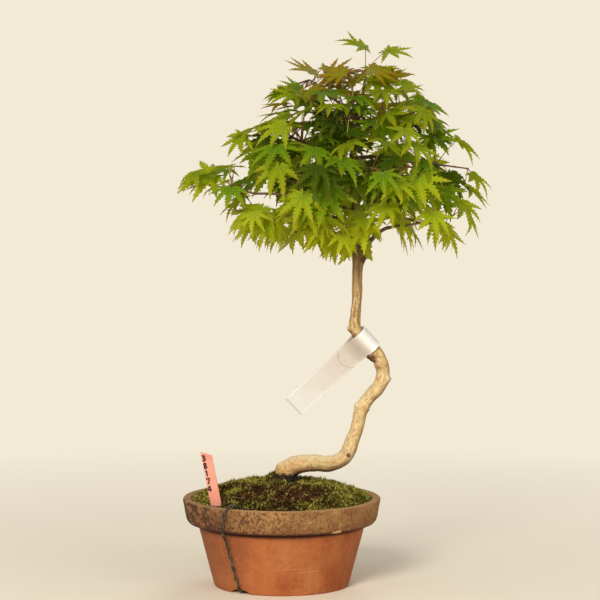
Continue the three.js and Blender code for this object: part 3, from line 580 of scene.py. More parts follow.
def leafy(name, color, glow):
    """A leaf's finish: a soft surface that lets some light through."""
    f = Finish(name, tint(*color), 0.6, 0.1)
    through = f.node("BsdfTranslucent", {"Color": tint(*glow)})
    out = f.tree.nodes["Material Output"]
    mixed = f.node("MixShader", {0: LIT_THROUGH, 1: f.shader.outputs["BSDF"], 2: through})
    f.tree.links.new(mixed, out.inputs["Surface"])
    return f.material


# The pot


def pot_profile():
    """Radius and height round the pot's wall, with close steps where it is seen."""
    slope = [(np.interp(z, [1.5, 65], [POT["base"], POT["neck"]]), z) for z in np.linspace(1.5, 65, 34)]
    band = [(np.interp(z, [74, 91], [101.9, 104.9]), z) for z in np.linspace(74, 91, 12)]
    inside = [
        (np.interp(z, [14, 62, 80, 92.4], [62.5, 79.5, 94.2, 96]), z)
        for z in np.linspace(92.4, 14, 20)
    ]
    return [
        (0.001, 0), (30, 0), (60, 0), (POT["base"] - 1.9, 0), (POT["base"] - 0.7, 0.4),
        *slope,
        (88.9, 66.2), (90.5, 67), (93.5, 67.1), (96.6, 67.3), (98.8, 68.2), (100.4, 70), (101.3, 72),
        *band,
        (104.9, 92.3), (104.3, 93.3), (103.2, 93.9), (101.8, 94), (99.5, 94.05), (97.8, 93.8), (96.6, 93.2),
        *inside,
        (59, 10.8), (55, 10), (30, 10), (0.001, 10),
    ]


def build_pot():
    segments = 240
    inner = 60  # radius within which its underside and floor stay plain
    profile = np.array(pot_profile())
    turns = even_turns(segments)
    r, z = profile[:, :1], np.broadcast_to(profile[:, 1:], (len(profile), segments))
    corners = np.stack([r * np.cos(turns), r * np.sin(turns), z], axis=-1).reshape(-1, 3)
    radius = np.hypot(corners[:, 0], corners[:, 1])
    azimuth = np.arctan2(corners[:, 1], corners[:, 0])
    z = corners[:, 2]
    outer = radius > inner
    wall = np.interp(z, [0.5, 4], [0, 1]) * outer
    # Uneven walls, and a pitted band
    swell = 0.5 * bumpy(corners, 55) + 0.16 * bumpy(corners, 9, 5.0)
    pitted = np.interp(z, [66, 70], [0.0, 0.34]) * bumpy(corners, 2.4, 9.0)
    # Throwing rings: faint all round, and one clear line on the right of the front
    rings = 0.07 * np.sin(z * 1.35 + 2 * bumpy(corners, 60, 2.0)) * (z < 64)
    clear_line = np.exp(-((z - 27.5 - 1.5 * np.cos(azimuth + 0.6)) / 0.55) ** 2)
    facing = np.interp(np.cos(azimuth + 62 * DEG), [0.55, 0.85], [0, 1])
    grown = wall * (swell + pitted + rings + 0.32 * clear_line * facing)
    # A chip in the band's lower edge
    chip_at = np.array([101 * math.cos(-55 * DEG), 101 * math.sin(-55 * DEG), 68.5])
    grown = grown - 1.3 * np.exp(-np.sum(((corners - chip_at) / [5.5, 5.5, 2.6]) ** 2, axis=1))
    scale = (radius + np.where(outer, grown, 0)) / np.maximum(radius, 1e-6)
    skin = Skin()
    corners *= np.stack([scale, scale, np.ones_like(scale)], axis=1)
    add_rings(skin, corners.reshape(-1, segments, 3))
    whole = put("clay_pot_whole", skin.mesh("clay_pot_whole"))
    step = 360 // DRAIN["count"]
    cutters = [c for i in range(DRAIN["count"]) for c in drain_cutters(DRAIN["azimuth"] + i * step)]
    for cutter in cutters:
        change = whole.modifiers.new("cut", "BOOLEAN")
        change.object, change.operation, change.solver = cutter, "DIFFERENCE", "EXACT"
    mesh = applied(whole)
    for spare in [whole, *cutters]:
        bpy.data.objects.remove(spare)
    mesh.materials.clear()
    set_piece("clay_pot", mesh, [terracotta()], "terracotta", ["pot"])
    mesh.set_sharp_from_angle(angle=50 * DEG)


# A groove's rounded top, as shares of its width and of its height
ARCH = [
    (-0.5, -2), (-0.5, 0), (-0.42, 0.55), (-0.25, 0.88), (0, 1), (0.25, 0.88), (0.42, 0.55), (0.5, 0),
    (0.5, -2),
]


def drain_cutters(azimuth):
    """A drain hole and the groove that leads to it from the edge, rounded along its top."""
    turn = azimuth * DEG
    way = np.array([math.cos(turn), math.sin(turn), 0])
    hole, groove = Skin(), Skin()
    add_tube(hole, [way * DRAIN["hole_at"] + UP * z for z in (-20, 30)], [DRAIN["hole"]] * 2, 40)
    side = np.cross(UP, way)
    ring = [side * DRAIN["width"] * s + UP * DRAIN["height"] * h for s, h in ARCH]
    count = len(ring)
    k = np.arange(count)
    walls = np.stack([k + count, (k + 1) % count + count, (k + 1) % count, k], axis=1)
    groove.add([way * r + p for r in (DRAIN["hole_at"], POT["base"] + 14) for p in ring], walls)
    groove.join(0, [k, k[::-1] + count])
    return [put(name, skin.mesh(name)) for name, skin in (("hole", hole), ("groove", groove))]


# Moss


def moss_height(x, y):
    """Height of the moss's surface, heaped in the middle and banked against the trunk's foot."""
    r = np.hypot(x, y)
    share = np.clip(r / MOSS["radius"], 0, 1)
    dome = MOSS["top"] - (MOSS["top"] - MOSS["edge"]) * share ** MOSS["fall"]
    lump = MOSS["lump"] * np.sin(x * 0.11 + 1) * np.sin(y * 0.13 + 2)
    points = np.stack([x, y, np.zeros_like(x)], axis=-1).reshape(-1, 3)
    small = 1.5 * bumpy(points, 17, 3.0) + 0.9 * bumpy(points, 7, 7.0) + 0.7 * bumpy(points, 4, 5.0)
    lumps = (lump + small.reshape(np.shape(x))) * (1 - share**4)
    bank = MOSS_BED["bank"] * np.exp(-(((x + 10) / 8) ** 2 + (y / 7) ** 2))
    return dome + lumps + bank - MOSS_BED["lower"] + MOSS_BED["rim"] * share**6


def build_moss():
    rings, segments = 70, 200
    r = np.linspace(0, 1, rings)[:, None] ** 0.8 * MOSS["radius"]
    turns = even_turns(segments)
    x, y = r * np.cos(turns), r * np.sin(turns)
    top = np.stack([x, y, moss_height(x, y)], axis=-1).reshape(-1, 3)
    skirt = top[-segments:] - [0, 0, 5]
    skin = Skin()
    skin.add(np.vstack([top, skirt]), ring_faces(rings + 1, segments)[:, ::-1])
    skin.join(rings * segments, [np.arange(segments)])
    finish = grainy("moss_bed", (24, 18, 10), (50, 38, 20), 160, 1.2)
    set_piece("moss_bed", skin, [finish], "moss", ["moss"])
    build_moss_shoots()


SHOOTS = dict(count=22000, blades=4, half_width=0.36)
# Each kind of moss shoot: its colour low down and at its tips; the dark low part is partly painted shade
# between the shoots, and the pale tip partly painted highlight
MOSS_TINTS = {
    "dark": ((20, 15, 8), (54, 44, 16)),
    "green": ((30, 30, 10), (88, 96, 24)),
    "olive": ((46, 38, 14), (136, 122, 38)),
    "light": ((66, 56, 18), (204, 190, 92)),
    "brown": ((34, 20, 12), (104, 60, 32)),
    "straw": ((74, 50, 30), (214, 172, 120)),
}
# The kinds in warm, mild and cool patches and between them, with the chance of one up to there
WARM = [(0.45, "brown"), (0.52, "straw"), (0.92, "dark"), (1, "light")]
MILD = [(0.45, "dark"), (0.7, "green"), (0.92, "brown"), (1, "light")]
COOL = [(0.5, "light"), (0.85, "olive"), (1, "green")]
BETWEEN = [(0.3, "green"), (0.6, "olive"), (0.85, "dark"), (1, "light")]


def kinds_by(chance, rows):
    """The kind that each shoot's chance gives, by its place in MOSS_TINTS."""
    limits, kinds = zip(*rows)
    numbers = np.array([list(MOSS_TINTS).index(kind) for kind in kinds])
    return numbers[np.searchsorted(limits[:-1], chance, side="right")]


def build_moss_shoots():
    """Thousands of short leafy shoots, each a star of narrow blades, tinted by patches."""
    draw = np.random.default_rng(SEED)
    count = SHOOTS["count"]
    r = np.sqrt(draw.random(count)) * (MOSS["radius"] + 0.6)
    turn = draw.random(count) * 2 * np.pi
    x, y = r * np.cos(turn), r * np.sin(turn)
    away = np.hypot(x - FOOT["x"], y) > FOOT["radius"] - 2.5
    # None grow between the label and the rim
    away &= np.hypot(x - LABEL["x"] + 2, y - LABEL["y"] + 6) > 8
    x, y = x[away], y[away]
    count = len(x)
    z = moss_height(x, y)
    ground = np.stack([x, y, np.zeros(count)], axis=1)
    tuft = bumpy(ground, 4.2, 21.0)
    patch = bumpy(ground, 24, 11.0) + 0.5 * bumpy(ground, 9, 4.0) - 0.5 * tuft
    rim = np.hypot(x, y) / MOSS["radius"]
    warm = patch + 1.2 * np.exp(-(((x - 4) / 58) ** 2 + ((y + 48) / 42) ** 2))
    warm -= 0.6 * np.clip((x - 45) / 30, 0, 1)
    # Short in warm patches and along the rim, and taller in tufts
    height = 2.6 + 2.6 * draw.random(count) + 1.4 * np.clip(-warm, 0, 1)
    height *= (1 + 0.7 * tuft) * np.interp(rim, [0.93, 1.0], [1, 0.6])
    lean = (draw.random((count, 2)) - 0.5) * 1.1 + np.stack([x, y], axis=1) / MOSS["radius"] * 0.25
    chance = draw.random(count)
    warm += (draw.random(count) - 0.5) * 0.8
    patch += (draw.random(count) - 0.5) * 0.8
    tone = np.select(
        [warm > 0.75, warm > 0.35, patch < -0.35],
        [kinds_by(chance, rows) for rows in (WARM, MILD, COOL)],
        kinds_by(chance, BETWEEN),
    )
    skin = Skin()
    base = np.stack([x, y, z - 1.0], axis=1)
    axis = units(np.stack([lean[:, 0], lean[:, 1], np.ones(count)], axis=1))
    across = SHOOTS["half_width"]
    spin = draw.random(count) * 2 * np.pi
    for blade in range(SHOOTS["blades"]):
        a = spin + blade * 2 * np.pi / SHOOTS["blades"] + draw.random(count) * 0.8
        out = np.stack([np.cos(a), np.sin(a), np.zeros(count)], axis=1)
        side = np.stack([-np.sin(a), np.cos(a), np.zeros(count)], axis=1)
        reach = (1.1 + 0.9 * draw.random(count))[:, None]
        tall = (height * (0.75 + 0.4 * draw.random(count)))[:, None]
        foot = base + out * 0.15
        waist = base + axis * tall * 0.55 + out * reach * 0.45
        tip = base + axis * tall + out * reach
        points = np.stack([foot, waist - side * across, waist + side * across, tip], axis=1).reshape(-1, 3)
        start = np.arange(count)[:, None] * 4
        faces = np.concatenate([start + [0, 2, 1], start + [1, 2, 3]])
        skin.add(points, faces, np.concatenate([2 * tone, 2 * tone + 1]))
    materials = [plain(f"moss_{name}_{end}", color, 0.85, 0.15)
                 for name, colors in MOSS_TINTS.items() for end, color in zip(("low", "tip"), colors)]
    set_piece("moss_shoots", skin, materials, "moss")


# Trunk and boughs


def catmull_rom(points, t):
    """A point on the curve through these points, at t from 0 to 1."""
    last = len(points) - 1
    at = last * t
    i = min(int(at), last - 1)
    w = at - i
    p1, p2 = points[i], points[i + 1]
    p0 = points[i - 1] if i > 0 else 2 * points[0] - points[1]
    p3 = points[i + 2] if i + 2 <= last else 2 * points[last] - points[last - 1]
    t0, t1 = 0.5 * (p2 - p0), 0.5 * (p3 - p1)
    return p1 + t0 * w + (-3 * p1 + 3 * p2 - 2 * t0 - t1) * w**2 + (2 * p1 - 2 * p2 + t0 + t1) * w**3


def trunk_point(row):
    return catmull_rom(TRUNK[:, :3], row / LAST_ROW)


def trunk_radius(row):
    return float(np.interp(row, np.arange(len(TRUNK)), TRUNK[:, 3]))


def beside_trunk(row, facing, out):
    return trunk_point(row) + unit(np.array(facing, float)) * out


# Where the bark is dark and rough, and how far round: at the knots, and at a small scar on the elbow
SCARS = [
    *[(beside_trunk(row, way, out + 0.5 * radius), 1.5 * radius) for row, way, radius, out in KNOTS],
    ((70.5, -13.5, 140.0), 3.0),
]
# Rings left by old leaf scars: the trunk row and how far they stand out
LEAF_SCARS = [
    (3.1, 0.5), (5.6, 0.5), (8.15, 0.8), (9.6, 0.4), (11.5, 0.5), (15.3, 0.4), (16.4, 0.4), (18.1, 0.8),
]


def way_of(curve, t, step=0.0001):
    """The way a curve points at t."""
    return unit(curve(min(1, t + step)) - curve(max(0, t - step)))


def foot_rings():
    """The lobed foot, from its flat cut at the soil up to the trunk."""
    rings = []
    turns = even_turns(60)
    for height in np.linspace(0, FOOT["height"], 14):
        t = height / FOOT["height"]
        radius = FOOT["radius"] + (FOOT["neck"] - FOOT["radius"]) * math.sqrt(t)
        r = radius + FOOT["depth"] * (1 - t) * np.cos(FOOT["roots"] * turns)
        z = np.full(len(turns), SOIL_TOP + CLEAR + height)
        rings.append(np.stack([FOOT["x"] + r * np.cos(turns), FOOT["y"] + r * np.sin(turns), z], axis=1))
    return np.array(rings)


def lengths_along(line):
    """How far along the line each of its points is."""
    return np.concatenate([[0], np.cumsum(np.linalg.norm(np.diff(line, axis=0), axis=1))])


def build_trunk():
    rows = np.linspace(0, LAST_ROW, LAST_ROW * 12 + 1)
    line = np.array([trunk_point(row) for row in rows])
    radii = np.array([trunk_radius(row) for row in rows])
    radii = np.convolve(np.pad(radii, 4, mode="edge"), np.ones(9) / 9, mode="valid")
    for row, size in LEAF_SCARS:
        radii = radii + size * np.exp(-((rows - row) / 0.16) ** 2)
    skin = Skin()
    add_tube(skin, line, radii, 28)
    add_ball(skin, TRUNK[0, :3], TRUNK[0, 3], 20)
    add_rings(skin, foot_rings())
    for row, facing, radius, out in KNOTS:
        add_ball(skin, beside_trunk(row, facing, out), radius)
    for centre, radius in SWELLINGS:
        add_ball(skin, centre, radius)
    for ridge in (ELBOW, CROTCH):
        ridge = np.array(ridge, float)
        add_tube(skin, ridge[:, :3], ridge[:, 3], 16)
    mesh = remade(skin, "trunk", 0.75)
    carve_bark(mesh, line)
    set_piece("trunk", mesh, [bark()], "bark", ["trunk_run", "trunk_rise", "trunk_stem"])


def carve_bark(mesh, line):
    """Relief along the grain, and the coordinates that the bark's finish follows."""
    corners, normals = rows_of(mesh.vertices, "co") / MM, rows_of(mesh.vertex_normals, "vector")
    tree = KDTree(len(line))
    for i, point in enumerate(line):
        tree.insert(point, i)
    tree.balance()
    near = np.array([tree.find(c)[1] for c in corners.tolist()])
    lengths = lengths_along(line)
    tangents, across, beside = frames_along(line)
    away = corners - line[near]
    along = lengths[near] + np.sum(away * tangents[near], axis=1)
    u, v = np.sum(away * across[near], axis=1), np.sum(away * beside[near], axis=1)
    grain = np.stack([along, u, v], axis=1)
    size = np.clip(np.hypot(u, v) / 7, 0.15, 1)
    ridges = bumpy(grain * [0.16, 1, 1], 2.1) * 0.22 + bumpy(grain * [0.3, 1, 1], 0.9, 6.0) * 0.1
    swell = bumpy(grain, 13, 2.0) * 0.45 + bumpy(grain, 5, 8.0) * 0.22
    wrinkle = 0.12 * np.sin(along * 1.7 + 5 * bumpy(grain, 7)) * np.exp(-(((along - 30) / 22) ** 2))
    rough = np.zeros(len(corners))
    for centre, reach in SCARS:
        rough = np.maximum(rough, np.exp(-np.sum((corners - centre) ** 2, axis=1) / reach**2))
    rough *= 0.8 * bumpy(corners, 1.8, 12.0)
    corners += normals * (size * (ridges + swell + wrinkle) + rough)[:, None]
    mesh.vertices.foreach_set("co", (corners * MM).astype(np.float32).ravel())
    mesh.update()
    mark = mesh.attributes.new("bark", "FLOAT_VECTOR", "POINT")
    mark.data.foreach_set("vector", (grain * MM).astype(np.float32).ravel())


def quadratic(start, bow, end):
    """The curve from start to end that leans towards bow."""

    def point(t):
        return start * (1 - t) ** 2 + bow * 2 * t * (1 - t) + end * t**2

    return point


def bowed(start, end, lift):
    """The curve from start to end that bows upwards by that share of its length."""
    return quadratic(start, (start + end) / 2 + UP * lift * np.linalg.norm(end - start), end)


class Mass:
    """One mass of leaves: its space, its bough and its shoots."""

    def __init__(self, row):
        self.name, at, reach, self.leaves, self.lobe, self.droop, self.row = row
        self.middle = np.array(at, float)
        self.reach = reach
        self.size = reach[0] * reach[1]

    def set_limbs(self):
        start = trunk_point(self.row)
        if self.row == LAST_ROW:
            self.bough, end = None, start
            self.along = way_of(lambda t: catmull_rom(TRUNK[:, :3], t), 1)
        else:
            towards = self.middle - start
            end = self.middle - towards * BOUGH["enter"] * self.reach[0] / np.linalg.norm(towards)
            self.bough = bowed(start, end, BOUGH["rise"])
            self.along = way_of(self.bough, 1)
            slim = min(BOUGH["root"], BOUGH["slimmest"] * trunk_radius(self.row))
            self.root = FORK["root"] if self.row < FORK["below"] else slim
        self.set_shoots(end)

    def set_shoots(self, tip):
        start = tip + self.along * CLEAR
        out = self.middle - start
        end = self.middle + unit(out) * STEM["past"] * self.reach[0]
        bow = start + self.along * 0.5 * np.linalg.norm(out) + UP * STEM["lift"] * self.reach[1]
        self.stem = quadratic(start, bow, end)
        points = [self.stem(i / STEM["steps"]) for i in range(STEM["steps"] + 1)]
        self.shoots = [(points, STEM)]
        if self.leaves >= TWIGS_FROM:
            along = unit(points[2] - points[0])
            level = unit(np.cross(along, UP))
            for side in (1, -1):
                spread = side * TWIG["spread"] * DEG
                way = along * math.cos(spread) + level * math.sin(spread)
                self.shoots.append(([points[1], points[1] + way * TWIG["length"] * self.reach[0]], TWIG))

    def bough_pieces(self):
        if self.bough is None:
            return []
        steps = BOUGH["steps"]
        radii = [self.root + (BOUGH["tip"] - self.root) * i / steps for i in range(steps + 1)]
        points = [self.bough(i / steps) for i in range(steps + 1)]
        return [(points[i], points[i + 1], radii[i]) for i in range(steps)]

    def shoot_pieces(self):
        found = []
        for points, kind in self.shoots:
            for i in range(len(points) - 1):
                radius = kind["root"] + (kind["tip"] - kind["root"]) * i / len(points)
                found.append((points[i], points[i + 1], radius))
        return found

    def nodes(self):
        found = []
        for points, kind in self.shoots:
            for step in kind["nodes"]:
                i = int(step)
                found.append(points[i] + (points[i + 1] - points[i]) * (step - i))
        return np.array(found)


MASSES = [Mass(row) for row in CROWN]


def inside_outline(points):
    """How far each point is inside the crown's outline, whose level sections are ovals."""
    z = points[..., 2]
    left = np.interp(z, OUTLINE[:, 0], OUTLINE[:, 1])
    right = np.interp(z, OUTLINE[:, 0], OUTLINE[:, 2])
    half = (right - left) / 2
    share = np.hypot((points[..., 0] - (left + right) / 2) / half, points[..., 1] / (half * OUTLINE_DEPTH))
    x = points[..., 0]
    outside = (z < OUTLINE[0, 0]) | (z >= OUTLINE[-1, 0])
    outside |= (z < OPENING["top"]) & (x > OPENING["left"]) & (x < OPENING["right"])
    return np.where(outside, -1, (1 - share) * half)


def as_seen(points):
    """Where points fall in the trunk's plane, as x and z, seen from the camera's place."""
    eye = np.array(CAMERA["place"]) / MM
    share = -eye[1] / (points[..., 1] - eye[1])
    return np.stack([eye[i] + (points[..., i] - eye[i]) * share for i in (0, 2)], axis=-1)


def within_any(seen, spots):
    found = np.zeros(seen.shape[:-1], bool)
    for x, z, wide, high in spots:
        found |= ((seen[..., 0] - x) / wide) ** 2 + ((seen[..., 1] - z) / high) ** 2 < 1
    return found


def bars_sky(centre, rim):
    """Whether a leaf would cover much of a place where sky shows: for one leaf or many."""
    return within_any(as_seen(centre), SKY) | (within_any(as_seen(rim), SKY).sum(axis=-1) > 2)


def room_at(mass, points):
    """How far each point is inside the mass's own space."""
    away = points - mass.middle
    wide, high = mass.reach
    share = np.linalg.norm(away / [wide, wide, high], axis=-1)
    room = np.minimum((1 - share) * min(wide, high), inside_outline(points))
    own = np.sum(away**2, axis=-1) - mass.size
    for other in MASSES:
        if other is mass:
            continue
        apart = np.linalg.norm(other.middle - mass.middle)
        theirs = np.sum((points - other.middle) ** 2, axis=-1) - other.size
        room = np.minimum(room, (theirs - own) / (2 * apart))
    return room


def segment_gaps(p1, q1, p2, q2):
    """Shortest distances between straight pieces p1-q1 and p2-q2, for arrays of them."""
    d1, d2, r = q1 - p1, q2 - p2, p1 - p2
    a, e = np.sum(d1 * d1, axis=-1), np.sum(d2 * d2, axis=-1)
    b, c, f = np.sum(d1 * d2, axis=-1), np.sum(d1 * r, axis=-1), np.sum(d2 * r, axis=-1)
    below = a * e - b * b
    s = np.where(below > 1e-9, np.clip((b * f - c * e) / np.where(below > 1e-9, below, 1), 0, 1), 0)
    t = (b * s + f) / e
    held = np.clip(t, 0, 1)
    s = np.where(held == t, s, np.clip((b * held - c) / a, 0, 1))
    return np.linalg.norm(p1 + d1 * s[..., None] - (p2 + d2 * held[..., None]), axis=-1)


def rim_outline():
    """The tips and sinuses of a leaf of unit length: forward, sideways and above."""

    def corner(turn, reach):
        a = turn * DEG
        return [reach * math.cos(a), reach * math.sin(a), -LEAF["arch"] * reach * reach]

    found = [corner(0, 1)]
    for side in (1, -1):
        for i, (turn, reach) in enumerate(LOBES[1:], 1):
            sinus = LEAF["sinus"] * (1 - LEAF["closing"] * i)
            found.append(corner(side * (turn + LOBES[i - 1][0]) / 2, sinus))
            found.append(corner(side * turn, reach))
    return np.array(found)


RIM = rim_outline()


def laid_out(base, shape, ways):
    """Points of a leaf's shape, put at its base along its three ways."""
    return base + shape[..., 0:1] * ways[0] + shape[..., 1:2] * ways[1] + shape[..., 2:3] * ways[2]


class Darts:
    """Places for leaves drawn in a mass, with each leaf's frame, length, base and rim."""

    def __init__(self, mass, draws, shrink, how=PLACE):
        jitter = draws * 2 - 1
        height, turn = jitter[:, 0], draws[:, 1] * 2 * np.pi
        out = how["within"] * np.cbrt(draws[:, 2])
        level = np.sqrt(1 - height * height)
        place = np.stack([level * np.cos(turn), level * np.sin(turn), height], axis=1) * out[:, None]
        wide, high = mass.reach
        self.centre = mass.middle + place * [wide, wide, high]
        normal = units((self.centre - DOME["middle"]) / DOME["reach"] / DOME["reach"])
        x, y, _ = (units(normal * LEVEL) + place * LEVEL * how["outwards"]).T
        swing = jitter[:, 3] * how["swing"] * DEG
        c, s = np.cos(swing), np.sin(swing)
        heading = units(np.stack([c * x - s * y, s * x + c * y, 0 * c], axis=1))
        droop = np.arccos(normal[:, 2]) * mass.droop + jitter[:, 4] * how["droop"] * DEG
        roll = jitter[:, 5] * how["roll"] * DEG
        self.length = mass.lobe * (GROWTH["least"] + GROWTH["spread"] * draws[:, 6]) * shrink
        self.set_frames(heading, droop[:, None], roll[:, None])
        self.base = self.centre - how["middle"] * self.length[:, None] * self.forward
        ways = [way[:, None] for way in (self.forward, self.beside, self.above)]
        self.rim = laid_out(self.base[:, None], RIM * self.length[:, None, None], ways)

    def set_frames(self, heading, droop, roll):
        self.forward = heading * np.cos(droop) - UP * np.sin(droop)
        flat = heading * np.sin(droop) + UP * np.cos(droop)
        beside = np.cross(flat, self.forward)
        self.above = flat * np.cos(roll) + beside * np.sin(roll)
        self.beside = np.cross(self.above, self.forward)

    def leaf(self, i, node, extra=False):
        ways = self.forward[i], self.beside[i], self.above[i]
        return Leaf(self.centre[i], self.base[i], self.rim[i], self.length[i], ways, node, extra)


class Leaf:
    """A leaf. Its ways are forward, beside and above, its stalk runs from node to base, and an extra
    leaf is one of the finer growth."""

    def __init__(self, centre, base, rim, length, ways, node, extra=False):
        self.centre, self.base, self.rim, self.length = centre, base, rim, length
        self.ways, self.node, self.extra = ways, node, extra


def crosses(leaf, others, apart):
    """Whether a leaf or its stalk comes too near another leaf or its stalk."""
    for other in others:
        if np.linalg.norm(other.base - leaf.base) > leaf.length + other.length:
            continue
        if segment_gaps(leaf.node, leaf.base, other.base, other.rim).min() < apart:
            return True
        if segment_gaps(other.node, other.base, leaf.base, leaf.rim).min() < apart:
            return True
        if segment_gaps(leaf.base, leaf.rim[:, None], other.base, other.rim[None]).min() < apart:
            return True
    return False


def clear_of(leaf, pieces, gap):
    """Whether the blade keeps that gap to these straight limbs."""
    start, end, radius = pieces
    gaps = segment_gaps(leaf.base, leaf.rim[:, None], start[None], end[None])
    return bool((gaps > radius + gap).all())


def as_arrays(pieces):
    """The starts, ends and radii of straight limbs."""
    return tuple(np.array(part) for part in zip(*pieces))


def draws_of(seed, count):
    """The seven numbers drawn for each of that many darts."""
    draw = seeded(seed)
    return np.array([draw() for _ in range(count * 7)]).reshape(count, 7)


def grow(mass, index, limbs):
    """Grows one mass's leaves by the source's rule, largest first."""
    shrink = 1 - GROWTH["shrink"] * np.arange(DARTS) / DARTS
    darts = Darts(mass, draws_of(SEED + index * SEED_STEP, DARTS), shrink)
    roomy = room_at(mass, darts.base) > BLADE_MARGIN
    roomy &= (room_at(mass, darts.rim) > BLADE_MARGIN).all(axis=1)
    nodes = mass.nodes()
    borne = [[] for _ in nodes]
    shoots = as_arrays(mass.shoot_pieces())
    leaves = []
    for i in np.nonzero(roomy)[0]:
        free = [k for k, held in enumerate(borne) if len(held) < 2]
        if not free or len(leaves) >= mass.leaves:
            break
        base = darts.base[i]
        k = free[int(np.argmin(np.linalg.norm(nodes[free] - base, axis=1)))]
        stalk = base - nodes[k]
        reach = np.linalg.norm(stalk)
        way = stalk / reach
        if not STALK["shortest"] <= reach <= STALK["longest"]:
            continue
        if abs(darts.beside[i].dot(way)) > STALK["askew"] or darts.forward[i].dot(way) < STALK["folded"]:
            continue
        if any(other.dot(way) > STALK["pairing"] for other in borne[k]):
            continue
        if any(np.linalg.norm(other.centre - darts.centre[i]) < LEAF["spacing"] for other in leaves):
            continue
        leaf = darts.leaf(i, nodes[k])
        if crosses(leaf, leaves, LEAF["apart"]) or not clear_of(leaf, shoots, SHOOT_CLEAR):
            continue
        if (segment_gaps(leaf.node, leaf.base, limbs[0], limbs[1]) - limbs[2]).min() <= STALK["clear"]:
            continue
        if not clear_of(leaf, limbs, LIMB_CLEAR):
            continue
        borne[k].append(way)
        leaves.append(leaf)
    return leaves


# Finer growth: smaller leaves on twigs of their own, which fill the spaces between the masses
INFILL = dict(
    leaves=14,  # the most on a high mass
    lowest=4,  # the most on a low one
    seed=101,
    seed_step=6151,
    darts=3000,
    size=0.84,
    margin=2.0,  # inside the outline
    over=12.0,  # past the mass's own space
    beyond=60,  # past the mass, how far other leaves are looked for
    apart=0.7,
    spacing=12,
    longest=56,  # twig
    nodes=(0.3, 0.6, 0.9),  # shares of a shoot where twigs start
    front=30,  # the place in depth that leaves have to be before to close a gap first
    above=440,  # height over which they grow anywhere
    deep=34,  # how far inside the outline they have to be below it
    under=546,  # height over which none grow
)
INFILL_PLACE = dict(within=1.0, outwards=0.6, swing=95, droop=26, roll=34, middle=0.42)


def infill(mass, index, grown, limbs):
    """Adds smaller leaves between those grown before, each on a fine twig from the nearest shoot."""
    draws = draws_of(SEED + INFILL["seed"] + index * INFILL["seed_step"], INFILL["darts"])
    darts = Darts(mass, draws, INFILL["size"], INFILL_PLACE)
    ends = np.concatenate([darts.base[:, None], darts.rim], axis=1)
    roomy = (inside_outline(ends) > INFILL["margin"]).all(axis=1)
    roomy &= room_at(mass, darts.centre) > -INFILL["over"]
    height = darts.centre[:, 2]
    roomy &= (height > INFILL["above"]) | (inside_outline(darts.centre) > INFILL["deep"])
    roomy &= (height < INFILL["under"]) & ~bars_sky(darts.centre, darts.rim)
    first = roomy & within_any(as_seen(darts.centre), CLOSED) & (darts.centre[:, 1] < INFILL["front"])
    reach = mass.reach[0] + INFILL["beyond"]
    near = [leaf for leaf in grown if np.linalg.norm(leaf.centre - mass.middle) < reach]
    shoots = [points for points, _ in mass.shoots]
    starts = np.array([p[0] + (p[-1] - p[0]) * t for p in shoots for t in INFILL["nodes"]])
    starts[:len(INFILL["nodes"])] = [mass.stem(t) for t in INFILL["nodes"]]
    added = []
    # Fewer on the masses low down and at the sides
    most = np.interp(mass.middle[2], [400, 440], [INFILL["lowest"], INFILL["leaves"]])
    most = round(float(most * np.interp(abs(mass.middle[0] - 66), [50, 110], [1, 0.55])))
    for i in [*np.nonzero(first)[0], *np.nonzero(roomy & ~first)[0]]:
        if len(added) >= most:
            break
        base = darts.base[i]
        gaps = np.linalg.norm(starts - base, axis=1)
        k = int(np.argmin(gaps))
        if not STALK["shortest"] < gaps[k] < INFILL["longest"]:
            continue
        way = (base - starts[k]) / gaps[k]
        if darts.forward[i].dot(way) < STALK["folded"]:
            continue
        others = near + added
        if min(np.linalg.norm(o.centre - darts.centre[i]) for o in others) < INFILL["spacing"]:
            continue
        leaf = darts.leaf(i, starts[k], extra=True)
        if crosses(leaf, others, INFILL["apart"]) or not clear_of(leaf, limbs, LIMB_CLEAR):
            continue
        added.append(leaf)
    return added


# Leaves


SHAPE = dict(
    teeth=(6, 5, 5, 4, 2),  # on each side of a lobe, from the middle lobe outwards
    basal=(142, 0.24),  # the smallest pair of lobes, which the solids leave out
    vein=0.008,  # half the midrib's width, as a share of the middle lobe
    sunk=0.012,  # how far the midrib lies under the blade
    tail=0.06,  # where the blade closes behind the stalk
    scale=0.97,  # of the solid's leaf
    sinus=0.4,  # how far out the lobes part, as a share of the middle lobe
    tooth=1.28,  # a tooth's tip and the notch behind it, as shares of the lobe's width there
    notch=0.66,
    toothed=0.94,  # share of the lobe that bears teeth
    steps=4,  # rings of the blade's undivided middle
)
# A lobe's width along it, as shares
TAPER = [
    (0, 1), (0.15, 1.08), (0.3, 1.14), (0.45, 1.06), (0.6, 0.86), (0.72, 0.62), (0.82, 0.4), (0.9, 0.22),
    (0.96, 0.09), (1, 0.02),
]
MIDRIB = 4  # the zone of the midribs, after the middle, the ring round it, the lobes and their ends


